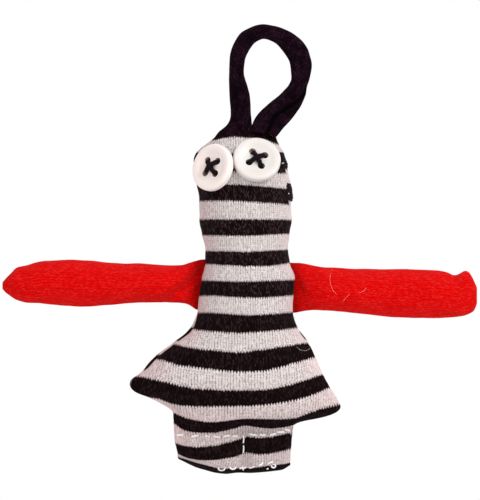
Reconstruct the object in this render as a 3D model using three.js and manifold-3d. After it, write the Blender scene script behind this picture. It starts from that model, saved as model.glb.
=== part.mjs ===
// A hand-sewn hanging doll of striped knit, with a loop, button eyes, stuffed arms and feet.
// Millimetres. A front view looks along +Y with +X to the right, and +Z is up.
// The origin is the inside top of the loop, where a hook carries the doll.

import * as THREE from 'three';
import { mergeVertices } from 'three/addons/utils/BufferGeometryUtils.js';
import Module from 'manifold-3d';

const wasm = await Module();
wasm.setup();

// Cloth, clearances and the fineness of the stuffed forms
const CLOTH = 1.0;
const GAP = 0.3;
const FOLD_GAP = 0.45;
const THINNEST_HALF = 0.3;
const RING_SPACING = 7;
const BODY_SIDES = 24;
const ARM_SIDES = 16;
const LOOP_SIDES = 12;
const BODY_MIDDLE = -7;
const REST_FLAT_DEPTH = 0.5;

// How much a ring that is flatter than this draws its sides in towards a seam
const ROUND_FLATNESS = 1.5;
const EDGE_GAIN = 0.3;
const SHARPEST_EDGE = 1.6;

// The main sizes, from the fold line at the head top up to the inside of the loop and down to
// the hip, the length of the foot block, and how far each arm reaches out from its pinch
const LOOP_HEIGHT = 33.1;
const BODY_LENGTH = 116.6;
const FOOT_LENGTH = 14.8;
const LEFT_ARM_REACH = 66.4;
const RIGHT_ARM_REACH = 60.8;

// The loop, from its left root round to its right root.
// Inner edge x and height over the fold line, outer edge x and height, half thickness.
const LOOP_ROWS = [
  [-4.75, FOLD_GAP, -13.1, FOLD_GAP, 0.35],
  [-4.75, 2.0, -13.0, 2.0, 1.5],
  [-4.85, 4.1, -13.0, 4.1, 2.0],
  [-5.2, 10.6, -13.4, 10.6, 2.1],
  [-6.3, 15.3, -13.3, 15.3, 2.2],
  [-7.6, 20.1, -13.3, 20.3, 2.3],
  [-7.2, 25.0, -13.1, 26.1, 2.3],
  [-5.5, 28.8, -11.6, 31.3, 2.3],
  [-3.1, 31.8, -7.4, 36.4, 2.3],
  [0, 33.1, -0.7, 38.7, 2.3],
  [4.0, 31.7, 6.5, 37.4, 2.3],
  [7.4, 28.2, 13.3, 33.6, 2.4],
  [9.7, 24.2, 17.1, 28.2, 2.4],
  [10.3, 20.4, 18.2, 22.5, 2.4],
  [9.9, 17.2, 16.9, 15.9, 2.4],
  [5.9, 12.3, 11.9, 7.6, 2.2],
  [1.5, 7.9, 9.1, 3.2, 1.7],
  [-1.9, 4.3, 7.7, 1.2, 1.2],
  [-4.3, FOLD_GAP, 7.3, FOLD_GAP, 0.35],
];

// The body, from the fold line at the head top down to the hip.
// Drop, half width to the left, half width to the right, front bulge, back bulge.
const BODY_ROWS = [
  [FOLD_GAP, 7.0, 14.2, 0.4, 0.4],
  [1.8, 9.8, 13.6, 1.9, 1.8],
  [3.8, 12.2, 12.6, 3.9, 3.6],
  [6.2, 14.8, 12.7, 6.1, 5.6],
  [9.4, 18.0, 14.1, 8.7, 7.8],
  [13.8, 19.6, 15.8, 11.2, 9.8],
  [20.6, 18.9, 17.0, 12.8, 11.0],
  [28.2, 18.0, 18.2, 12.8, 11.0],
  [35.8, 17.4, 17.4, 12.2, 10.7],
  [44.4, 16.0, 15.9, 11.5, 10.3],
  [51.4, 15.8, 17.1, 11.8, 10.5],
  [60.6, 17.0, 18.0, 12.3, 11.0],
  [70.0, 18.2, 18.6, 12.6, 11.4],
  [76.2, 22.4, 19.7, 12.6, 11.6],
  [83.6, 29.6, 24.2, 12.2, 11.4],
  [91.0, 38.9, 27.3, 11.6, 10.8],
  [96.6, 43.4, 30.6, 10.8, 9.8],
  [100.2, 43.0, 32.2, 9.9, 9.0],
  [103.4, 36.6, 33.8, 8.9, 8.0],
  [106.4, 30.8, 35.2, 7.8, 7.0],
  [109.0, 28.4, 33.6, 6.7, 6.0],
  [111.4, 27.8, 25.0, 5.5, 5.0],
  [113.6, 27.6, 18.6, 3.9, 3.5],
  [115.4, 27.3, 17.7, 2.0, 1.8],
  [116.6, 27.0, 17.5, 0.4, 0.4],
];

// The drops at which the body's stuffing is parted into head, chest and skirt
const CHEST_TOP_DROP = 44.4;
const CHEST_BOTTOM_DROP = 74;

// The foot block, from the hip fold line down, in the columns of the body
const FOOT_ROWS = [
  [FOLD_GAP, 26.8, 17.4, 0.4, 0.4],
  [1.5, 26.8, 17.2, 2.0, 1.9],
  [3.2, 26.8, 17.0, 4.3, 3.9],
  [5.4, 26.6, 16.8, 6.3, 5.7],
  [8.0, 26.0, 16.4, 7.2, 6.6],
  [10.3, 24.9, 16.6, 6.9, 6.3],
  [12.3, 21.5, 16.6, 5.9, 5.3],
  [13.9, 16.2, 15.0, 4.2, 3.7],
  [14.8, 11.5, 11.8, 2.0, 1.8],
];

// The sewn line that parts the foot block into two lobes
const LOBE_LINE = -1.0;
const LOBE_VALLEY_WIDTH = 2.6;
const LOBE_VALLEY_SHARE = 0.5;

// Arms. The pinch is the round inner end about which an arm is raised and lowered.
const PINCH_OUT = 9;
const PINCH_RADIUS = 7;
const PINCH_STEP = 18;
const RAISE_LIMIT = 45;
const LOWER_LIMIT = 35;
const HORN_MARGIN = 4;
const ROOT_THIN_START = 1.0;
const ROOT_THIN_SLOPE = 0.62;
const TAB_EDGE_HALF = 0.3;
const TAB_DEEP_HALF = 1.0;
const SLEEVE_MOUTH_HALF = 1.4;
const SLEEVE_MOUTH_THIN = 0.4;

// Each arm: where its seam starts and ends on the body's side, and its outline.
// Distance out from the pinch, reach above it, reach below it, half thickness.
const ARMS = {
  left: {
    side: -1,
    reach: LEFT_ARM_REACH,
    seamTop: 51,
    seamBottom: 69.5,
    rows: [
      [3.5, 7.3, 7.0, 6.0],
      [12, 7.8, 6.9, 6.8],
      [25.5, 8.3, 7.5, 7.0],
      [37, 8.9, 8.1, 7.0],
      [48.5, 8.9, 7.8, 7.0],
      [56, 7.7, 7.1, 6.4],
      [61.5, 6.3, 5.6, 5.2],
      [65, 3.6, 3.4, 3.4],
      [66.4, 1.2, 1.2, 1.2],
    ],
  },
  right: {
    side: 1,
    reach: RIGHT_ARM_REACH,
    seamTop: 52,
    seamBottom: 70.8,
    rows: [
      [3.5, 8.2, 8.9, 6.1],
      [12.5, 7.8, 9.7, 6.9],
      [22, 7.2, 10.5, 7.0],
      [33.5, 6.8, 10.9, 7.0],
      [45, 6.5, 11.1, 7.0],
      [52, 5.6, 10.8, 6.6],
      [56, 5.6, 10.2, 5.6],
      [59, 4.2, 9.0, 4.0],
      [60.8, 0.2, 5.2, 1.8],
    ],
  },
};

// Buttons with four holes, side by side: how far their centres are drawn in from edge to edge,
// how much their row tilts, its middle, and how each is turned to the side, leaned back and rolled
const BUTTON_SIDES = 32;
const ROUNDING_STEPS = 3;
const HOLE_SIDES = 12;
const THREAD_SIDES = 6;
const THREAD_STEPS = 16;
const SEATING_PASSES = 4;
const SEATING_POINTS = 72;
const BUTTON_DIAMETER = 18;
const BUTTON_THICKNESS = 3.2;
const BUTTON_RIM_WIDTH = 3.1;
const BUTTON_DISH_DEPTH = 1.1;
const BUTTON_EDGE_ROUNDING = 1.1;
const BUTTON_HOLE_SPACING = 4.8;
const EYE_THREAD_DIAMETER = 1.6;
const BUTTON_HOLE_DIAMETER = EYE_THREAD_DIAMETER + 2 * GAP;
const EYES_DRAWN_IN = 1.14;
const EYES_TILT = 9.9;
const EYES_ACROSS = -4.05;
const EYES_DROP = 14.35;
const EYES = {
  left: { side: -1, turn: -29, lean: 12, roll: 12 },
  right: { side: 1, turn: 6, lean: 17, roll: 14 },
};

// Places that follow from the sizes
const HEAD_TOP_Z = -LOOP_HEIGHT;
const HIP_Z = HEAD_TOP_Z - BODY_LENGTH - FOLD_GAP;
const FAR = 400;
const MERGE_DISTANCE = 1e-5;

// Colours
const BLACK_KNIT = { color: 0x171114, roughness: 0.95, metalness: 0 };
const PALE_KNIT = { color: 0xcdc3c2, roughness: 0.95, metalness: 0 };
const RED_KNIT = { color: 0xd8120f, roughness: 0.9, metalness: 0 };
const STUFFING = { color: 0xf0ede6, roughness: 1, metalness: 0 };
const BUTTON_WHITE = { color: 0xf7efe9, roughness: 0.35, metalness: 0 };
const BLACK_THREAD = { color: 0x120d10, roughness: 0.8, metalness: 0 };

const radians = THREE.MathUtils.degToRad;

// One number of a row, at a share of the way from one row to the next
function between(before, from, to, after, share) {
  const pull = 2 * before - 5 * from + 4 * to - after;
  const swing = 3 * (from - to) + after - before;
  return 0.5 * (2 * from + (to - before) * share + pull * share ** 2 + swing * share ** 3);
}

// The rows with smooth rows added where two of them lie far apart
function smoothRows(rows, distance) {
  const smooth = [];
  for (let i = 0; i + 1 < rows.length; i += 1) {
    const before = rows[Math.max(i - 1, 0)];
    const after = rows[Math.min(i + 2, rows.length - 1)];
    const parts = Math.max(1, Math.round(distance(rows[i], rows[i + 1]) / RING_SPACING));
    for (let part = 0; part < parts; part += 1) {
      const value = (from, n) => between(before[n], from, rows[i + 1][n], after[n], part / parts);
      smooth.push(rows[i].map(value));
    }
  }
  smooth.push(rows[rows.length - 1]);
  return smooth;
}

// Rows whose first number is stretched, so that the last row lies at a length
function stretched(rows, length) {
  const gain = length / rows[rows.length - 1][0];
  return rows.map(([along, ...rest]) => [along * gain, ...rest]);
}

// A ring lies between two edge points of the front view and bulges to the front and back.
// A flat ring has sharper edges, as two sewn layers have at their seam.
function ring(a, b, front, back) {
  const flatness = a.distanceTo(b) / (front + back);
  const edge = THREE.MathUtils.clamp(1 + EDGE_GAIN * (flatness - ROUND_FLATNESS), 1, SHARPEST_EDGE);
  return { a, b, front, back, edge };
}

// Rings of the body or the foot block from their rows, below a height
function hangingRings(rows, top) {
  return smoothRows(rows, (from, to) => to[0] - from[0]).map(([drop, left, right, front, back]) =>
    ring(
      new THREE.Vector2(BODY_MIDDLE - left, top - drop),
      new THREE.Vector2(BODY_MIDDLE + right, top - drop),
      front,
      back,
    ));
}

// The same rings drawn in by an amount all round, without those that are too thin for it
function inset(rings, amount) {
  const roomy = rings.filter(({ a, b, front, back }) =>
    Math.min(front, back, a.distanceTo(b) / 2) > amount + THINNEST_HALF);
  return roomy.map(({ a, b, front, back, edge }) => {
    const step = b.clone().sub(a).setLength(amount);
    return {
      a: a.clone().add(step),
      b: b.clone().sub(step),
      front: front - amount,
      back: back - amount,
      edge,
    };
  });
}

// Points of one ring. A valley draws the ring in along a line where it is sewn through.
function ringPoints({ a, b, front, back, edge }, sides, valley = () => 1) {
  const middle = a.clone().add(b).multiplyScalar(0.5);
  const half = b.clone().sub(a).multiplyScalar(0.5);
  const points = [];
  for (let i = 0; i < sides; i += 1) {
    const angle = (2 * Math.PI * i) / sides;
    const place = middle.clone().addScaledVector(half, Math.cos(angle));
    const bulge = Math.abs(Math.sin(angle)) ** edge * valley(place.x);
    points.push(new THREE.Vector3(place.x, Math.sin(angle) > 0 ? -front * bulge : back * bulge, place.y));
  }
  return points;
}

// A closed form through its rings, with a flat cap on the first and the last
function loft(rings, sides, valley) {
  const loops = rings.map((one) => ringPoints(one, sides, valley));
  const points = loops.flat();
  const faces = [];
  for (let r = 0; r + 1 < loops.length; r += 1) {
    for (let i = 0; i < sides; i += 1) {
      const next = (i + 1) % sides;
      const [p, q] = [r * sides + i, r * sides + next];
      faces.push(p, q, p + sides, q, q + sides, p + sides);
    }
  }
  const centre = (loop) => loop.reduce((sum, p) => sum.add(p), new THREE.Vector3()).divideScalar(sides);
  const last = (loops.length - 1) * sides;
  points.push(centre(loops[0]), centre(loops[loops.length - 1]));
  for (let i = 0; i < sides; i += 1) {
    const next = (i + 1) % sides;
    faces.push(points.length - 2, next, i, points.length - 1, last + i, last + next);
  }
  const geometry = new THREE.BufferGeometry().setFromPoints(points);
  geometry.setIndex(faces);
  return solid(geometry);
}

// Six times the volume that a mesh's triangles enclose, negative if they face inwards
function signedVolume(vertices, triangles) {
  const corner = (index) => new THREE.Vector3().fromArray(vertices, 3 * index);
  let volume = 0;
  for (let i = 0; i < triangles.length; i += 3) {
    const [a, b, c] = [corner(triangles[i]), corner(triangles[i + 1]), corner(triangles[i + 2])];
    volume += a.dot(b.cross(c));
  }
  return volume;
}

// A closed three.js geometry as a solid that can be cut and joined
function solid(geometry) {
  const bare = geometry.clone();
  bare.deleteAttribute('normal');
  bare.deleteAttribute('uv');
  const merged = mergeVertices(bare, MERGE_DISTANCE);
  const vertices = merged.attributes.position.array;
  const triangles = Uint32Array.from(merged.index.array);
  if (signedVolume(vertices, triangles) < 0) triangles.reverse();
  const mesh = { numProp: 3, vertProperties: Float32Array.from(vertices), triVerts: triangles };
  return new wasm.Manifold(new wasm.Mesh(mesh));
}

// A named mesh of a solid
function piece(name, shape, finish) {
  const { vertProperties, triVerts } = shape.getMesh();
  const geometry = new THREE.BufferGeometry();
  geometry.setAttribute('position', new THREE.BufferAttribute(vertProperties, 3));
  geometry.setIndex(new THREE.BufferAttribute(triVerts, 1));
  geometry.computeVertexNormals();
  const mesh = new THREE.Mesh(geometry, new THREE.MeshStandardMaterial(finish));
  mesh.name = name;
  return mesh;
}

// A block that fills everything between two corners
function block(low, high) {
  const size = high.clone().sub(low);
  const geometry = new THREE.BoxGeometry(size.x, size.y, size.z);
  geometry.translate(...low.clone().addScaledVector(size, 0.5).toArray());
  return solid(geometry);
}

const infront = (y) => block(new THREE.Vector3(-FAR, -FAR, -FAR), new THREE.Vector3(FAR, y, FAR));
const behind = (y) => block(new THREE.Vector3(-FAR, y, -FAR), new THREE.Vector3(FAR, FAR, FAR));

// What lies between two heights
function slab(low, high) {
  return block(new THREE.Vector3(-FAR, -FAR, low), new THREE.Vector3(FAR, FAR, high));
}

// What lies between two sideways places
function slice(left, right) {
  return block(new THREE.Vector3(left, -FAR, -FAR), new THREE.Vector3(right, FAR, FAR));
}

// The hanging loop
function makeLoop() {
  const reach = (from, to) => {
    const step = [0, 1, 2, 3].map((n) => to[n] - from[n]);
    return Math.hypot(step[0] + step[2], step[1] + step[3]) / 2;
  };
  const gain = LOOP_HEIGHT / Math.max(...LOOP_ROWS.map((row) => row[1]));
  const height = (drawn) => HEAD_TOP_Z + FOLD_GAP + (drawn - FOLD_GAP) * gain;
  const rings = smoothRows(LOOP_ROWS, reach).map(([ix, ih, ox, oh, thick]) =>
    ring(new THREE.Vector2(ix, height(ih)), new THREE.Vector2(ox, height(oh)), thick, thick));
  return [piece('hanging_loop', loft(rings, LOOP_SIDES), BLACK_KNIT)];
}

// Front and back panels of a stuffed form, parted by a gap at their seam
function panels(rings, valley) {
  const shell = loft(rings, BODY_SIDES, valley).subtract(loft(inset(rings, CLOTH), BODY_SIDES, valley));
  return {
    front: shell.intersect(infront(-GAP / 2)),
    back: shell.intersect(behind(GAP / 2)),
  };
}

const bodyRings = hangingRings(stretched(BODY_ROWS, BODY_LENGTH), HEAD_TOP_Z);
const backBulge = Math.max(...BODY_ROWS.map((row) => row[4]));

// The body's two panels and its stuffing
function makeBody() {
  const { front, back } = panels(bodyRings);
  const flatBack = back.intersect(infront(backBulge - REST_FLAT_DEPTH));
  const filling = loft(inset(bodyRings, CLOTH + GAP), BODY_SIDES);
  const chestTop = HEAD_TOP_Z - CHEST_TOP_DROP;
  const chestBottom = HEAD_TOP_Z - CHEST_BOTTOM_DROP;
  return [
    piece('body_front_panel', front, PALE_KNIT),
    piece('body_back_panel', flatBack, PALE_KNIT),
    piece('head_stuffing', filling.intersect(slab(chestTop + GAP, FAR)), STUFFING),
    piece('chest_stuffing', filling.intersect(slab(chestBottom + GAP, chestTop)), STUFFING),
    piece('skirt_stuffing', filling.intersect(slab(-FAR, chestBottom)), STUFFING),
  ];
}

// The foot block's two panels and the stuffing of its lobes
function makeFeet() {
  const lobeX = BODY_MIDDLE + LOBE_LINE;
  const valley = (x) => 1 - LOBE_VALLEY_SHARE * Math.exp(-(((x - lobeX) / LOBE_VALLEY_WIDTH) ** 2));
  const rings = hangingRings(stretched(FOOT_ROWS, FOOT_LENGTH), HIP_Z);
  const { front, back } = panels(rings, valley);
  const filling = loft(inset(rings, CLOTH + GAP), BODY_SIDES, valley);
  return [
    piece('foot_front_panel', front, PALE_KNIT),
    piece('foot_back_panel', back, PALE_KNIT),
    piece('left_foot_stuffing', filling.intersect(slice(-FAR, lobeX - GAP / 2)), STUFFING),
    piece('right_foot_stuffing', filling.intersect(slice(lobeX + GAP / 2, FAR)), STUFFING),
  ];
}

// The body's edge on one side at a drop below the head top
function bodyEdge(side, drop) {
  const z = HEAD_TOP_Z - drop;
  const below = bodyRings.findIndex(({ a }) => a.y <= z);
  const [upper, lower] = [bodyRings[below - 1], bodyRings[below]];
  const share = (upper.a.y - z) / (upper.a.y - lower.a.y);
  const edge = side < 0 ? 'a' : 'b';
  return upper[edge].clone().lerp(lower[edge], share);
}

// The fold line of an arm's seam, just clear of the body, and the middle of its pinch
function armPlaces({ side, seamTop, seamBottom }) {
  const top = bodyEdge(side, seamTop);
  const bottom = bodyEdge(side, seamBottom);
  top.x += side * FOLD_GAP;
  bottom.x += side * FOLD_GAP;
  const pinch = top.clone().add(bottom).multiplyScalar(0.5);
  pinch.x += side * PINCH_OUT;
  return { top, bottom, pinch };
}

// A ring across an arm, at a distance out from its pinch
function armRing({ side }, pinch, [out, up, down, thick]) {
  const x = pinch.x + side * out;
  return ring(new THREE.Vector2(x, pinch.y + up), new THREE.Vector2(x, pinch.y - down), thick, thick);
}

// The rings of an arm: a round inner end that thins towards the seam, then the outline
function armRings(arm, pinch) {
  const root = [];
  for (let angle = PINCH_STEP; angle <= 90; angle += PINCH_STEP) {
    const out = -PINCH_RADIUS * Math.cos(radians(angle));
    const half = PINCH_RADIUS * Math.sin(radians(angle));
    root.push([out, half, half, ROOT_THIN_SLOPE * (PINCH_OUT + out - ROOT_THIN_START)]);
  }
  const widest = root.pop();
  const rows = [widest, ...stretched(arm.rows, arm.reach)];
  const outline = smoothRows(rows, (from, to) => to[0] - from[0]);
  return [...root, ...outline].map((row) => armRing(arm, pinch, row));
}

// The flat sewn-in end of an arm, hollowed round the pinch so that the arm can turn there
function makeArmRoot(name, { side }, { top, bottom, pinch }) {
  const clear = PINCH_RADIUS + GAP;
  const tip = (limit) => {
    const angle = radians(90 - limit - HORN_MARGIN);
    return new THREE.Vector2(clear * Math.cos(angle), clear * Math.sin(angle));
  };
  const [upperTip, lowerTip] = [tip(RAISE_LIMIT), tip(LOWER_LIMIT)];
  const start = side * TAB_EDGE_HALF;
  const seam = ring(
    new THREE.Vector2(top.x + start, top.y),
    new THREE.Vector2(bottom.x + start, bottom.y),
    TAB_EDGE_HALF,
    TAB_EDGE_HALF,
  );
  const deep = ring(
    new THREE.Vector2(pinch.x - side * upperTip.x, pinch.y + upperTip.y),
    new THREE.Vector2(pinch.x - side * lowerTip.x, pinch.y - lowerTip.y),
    TAB_DEEP_HALF,
    TAB_DEEP_HALF,
  );
  const turning = new THREE.CylinderGeometry(clear, clear, FAR, 2 * ARM_SIDES);
  turning.translate(pinch.x, 0, pinch.y);
  return piece(name, loft([seam, deep], ARM_SIDES).subtract(solid(turning)), RED_KNIT);
}

// An arm's sleeve, open at its inner end, and its stuffing
function makeArm(name, arm) {
  const places = armPlaces(arm);
  const { pinch } = places;
  const rings = armRings(arm, pinch);
  const mouth = [PINCH_RADIUS + GAP, PINCH_RADIUS - CLOTH].map((inward) =>
    armRing(arm, pinch, [-inward, SLEEVE_MOUTH_HALF, SLEEVE_MOUTH_HALF, SLEEVE_MOUTH_THIN]));
  const hollow = inset(rings, CLOTH);
  const reached = hollow.filter(({ a }) => arm.side * (a.x - pinch.x) > CLOTH - PINCH_RADIUS);
  const sleeve = loft(rings, ARM_SIDES).subtract(loft([...mouth, ...reached], ARM_SIDES));
  return [
    makeArmRoot(`${name}_arm_root`, arm, places),
    piece(`${name}_arm_sleeve`, sleeve, RED_KNIT),
    piece(`${name}_arm_stuffing`, loft(inset(rings, CLOTH + GAP), ARM_SIDES), STUFFING),
  ];
}

// Points on an arc, from one angle to another in degrees
function arc(x, y, radius, start, end, steps) {
  const points = [];
  for (let i = 0; i <= steps; i += 1) {
    const angle = radians(start + ((end - start) * i) / steps);
    points.push(new THREE.Vector2(x + radius * Math.cos(angle), y + radius * Math.sin(angle)));
  }
  return points;
}

const dishHeight = BUTTON_THICKNESS - BUTTON_DISH_DEPTH;
const holeCorners = [45, 135, 225, 315].map((angle) => {
  const out = (BUTTON_HOLE_SPACING / 2) * Math.SQRT2;
  return new THREE.Vector3(out * Math.cos(radians(angle)), 0, out * Math.sin(radians(angle)));
});

// A button whose flat back lies on y = 0 and whose dished face looks along +Y
function buttonShape() {
  const radius = BUTTON_DIAMETER / 2;
  const edge = BUTTON_EDGE_ROUNDING;
  const rimEnd = radius - BUTTON_RIM_WIDTH;
  const profile = [
    new THREE.Vector2(0, 0),
    ...arc(radius - edge, edge, edge, -90, 0, ROUNDING_STEPS),
    ...arc(radius - edge, BUTTON_THICKNESS - edge, edge, 0, 90, ROUNDING_STEPS),
    ...arc(rimEnd + BUTTON_DISH_DEPTH, dishHeight, BUTTON_DISH_DEPTH, 90, 180, ROUNDING_STEPS),
    new THREE.Vector2(0, dishHeight),
  ];
  let shape = solid(new THREE.LatheGeometry(profile, BUTTON_SIDES));
  for (const corner of holeCorners) {
    const width = BUTTON_HOLE_DIAMETER / 2;
    const hole = new THREE.CylinderGeometry(width, width, FAR, HOLE_SIDES);
    hole.translate(corner.x, 0, corner.z);
    shape = shape.subtract(solid(hole));
  }
  return shape;
}

// One thread from a hole over to the hole across, its middle lifted by a rise
function stitch(from, to, rise) {
  const bend = EYE_THREAD_DIAMETER / 2 + GAP;
  const along = to.clone().sub(from).normalize();
  const top = dishHeight + bend;
  const up = (point, inward, height) => point.clone().addScaledVector(along, inward).setY(height);
  const side = (point, sign) => [
    up(point, 0, 0),
    up(point, 0, (top - bend) / 2),
    ...[0, 45, 90].map((angle) =>
      up(
        point,
        sign * bend * (1 - Math.cos(radians(angle))),
        top - bend + bend * Math.sin(radians(angle)),
      )),
  ];
  const middle = from.clone().add(to).multiplyScalar(0.5).setY(top + rise);
  const path = new THREE.CatmullRomCurve3([...side(from, 1), middle, ...side(to, -1).reverse()]);
  const lastAngle = 360 - 360 / THREAD_SIDES;
  const section = new THREE.Shape(arc(0, 0, EYE_THREAD_DIAMETER / 2, 0, lastAngle, THREAD_SIDES - 1));
  const options = { steps: THREAD_STEPS, bevelEnabled: false, extrudePath: path };
  return solid(new THREE.ExtrudeGeometry(section, options));
}

// The pose of a button: its back rests on the head, all round clear of it by the gap
function eyePose({ side, turn, lean, roll }) {
  const normal = new THREE.Vector3(0, -1, 0)
    .applyAxisAngle(new THREE.Vector3(1, 0, 0), -radians(lean))
    .applyAxisAngle(new THREE.Vector3(0, 0, 1), radians(turn));
  const surface = bodyRings.flatMap((one) => ringPoints(one, SEATING_POINTS));
  const apart = (side * (BUTTON_DIAMETER - EYES_DRAWN_IN)) / 2;
  const across = BODY_MIDDLE + EYES_ACROSS + apart * Math.cos(radians(EYES_TILT));
  const height = HEAD_TOP_Z - EYES_DROP + apart * Math.sin(radians(EYES_TILT));
  const centre = new THREE.Vector3(across, 0, height);
  for (let pass = 0; pass < SEATING_PASSES; pass += 1) {
    const under = surface.filter((point) => {
      const offset = point.clone().sub(centre);
      return offset.projectOnPlane(normal).length() < BUTTON_DIAMETER / 2;
    });
    const highest = Math.max(...under.map((point) => point.dot(normal)));
    centre.y += (highest + GAP - centre.dot(normal)) / normal.y;
  }
  const turned = new THREE.Quaternion().setFromUnitVectors(new THREE.Vector3(0, 1, 0), normal);
  const rolled = new THREE.Quaternion().setFromAxisAngle(new THREE.Vector3(0, 1, 0), radians(roll));
  return { centre, rotation: turned.multiply(rolled) };
}

// A button eye and the thread that crosses its holes
function makeEye(name, eye) {
  const [a, b, c, d] = holeCorners;
  const cross = stitch(a, c, 0).add(stitch(b, d, EYE_THREAD_DIAMETER / 2));
  const meshes = [
    piece(`${name}_eye_button`, buttonShape(), BUTTON_WHITE),
    piece(`${name}_eye_thread`, cross, BLACK_THREAD),
  ];
  const { centre, rotation } = eyePose(eye);
  for (const mesh of meshes) {
    mesh.position.copy(centre);
    mesh.quaternion.copy(rotation);
  }
  return meshes;
}

const doll = new THREE.Group();
doll.add(...makeLoop(), ...makeBody(), ...makeFeet());
for (const [name, arm] of Object.entries(ARMS)) doll.add(...makeArm(name, arm));
for (const [name, eye] of Object.entries(EYES)) doll.add(...makeEye(name, eye));

export default doll;
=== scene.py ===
"""Looks of a small hand-sewn hanging doll of striped knit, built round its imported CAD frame.

The doll hangs in the row frame, with the inside top of its loop at the origin. The tables give
millimetres, and the meshes are in metres.
"""

import logging
import math
from dataclasses import dataclass, field
from enum import Enum
from typing import Callable, Iterable, Iterator, Sequence

import bpy
import numpy as np
from bpy.types import ID, Material, Node, NodeSocket, Object
from mathutils import Matrix, Quaternion, Vector, noise
from mathutils.bvhtree import BVHTree

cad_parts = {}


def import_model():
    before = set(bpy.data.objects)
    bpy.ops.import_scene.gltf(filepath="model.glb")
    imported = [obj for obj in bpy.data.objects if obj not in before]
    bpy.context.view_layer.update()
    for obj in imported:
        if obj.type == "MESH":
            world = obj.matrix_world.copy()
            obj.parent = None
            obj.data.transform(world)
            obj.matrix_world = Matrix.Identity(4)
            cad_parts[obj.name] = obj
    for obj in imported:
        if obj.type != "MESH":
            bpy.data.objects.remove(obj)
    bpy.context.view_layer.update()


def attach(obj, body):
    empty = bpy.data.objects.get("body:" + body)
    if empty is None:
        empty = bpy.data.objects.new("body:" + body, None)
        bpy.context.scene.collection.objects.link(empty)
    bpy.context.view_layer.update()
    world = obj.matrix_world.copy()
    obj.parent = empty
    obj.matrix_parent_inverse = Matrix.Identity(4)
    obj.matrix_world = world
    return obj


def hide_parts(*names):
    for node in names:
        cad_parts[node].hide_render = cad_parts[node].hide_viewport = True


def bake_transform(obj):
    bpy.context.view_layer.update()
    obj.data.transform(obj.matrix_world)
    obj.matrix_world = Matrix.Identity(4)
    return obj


Array = np.ndarray
Triple = tuple[float, float, float]
Points = Sequence[tuple[float, float]]
Stitch = tuple[Points, float, Sequence[float]]

LOG = logging.getLogger("striped_doll")
MM = 0.001

# Size of a stitch in millimetres, and how many courses a stripe has.
WALE = 0.8
COURSE = 0.55
STRIPE_COURSES = 8
BACK_STRIPE_GAIN = 1.086
SIMULATION_SCALE = 10.0

# Places across and down of the body's middle, hip line and foot lobes, and how the lobes part.
BODY_MIDDLE = -7.0
HIP_DROP = 150.15
LOBE_X = -7.8
LOBE_VALLEY = 0.62
LOBE_SEAM = (150, 157)
LOBE_GAP = 0.7
HELD_REACH = 0.7
FILLING_INSET = 2.0


class Side(Enum):
    """Sides of the doll as the photograph shows it."""

    LEFT = -1
    RIGHT = 1

    @property
    def label(self) -> str:
        """The side's name in the CAD frame."""
        return self.name.lower()


class View(Enum):
    """Which rays a stage surface answers in plain white."""

    CAMERA = "Is Camera Ray"
    GLOSSY = "Is Glossy Ray"
    TRANSMISSION = "Is Transmission Ray"


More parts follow.
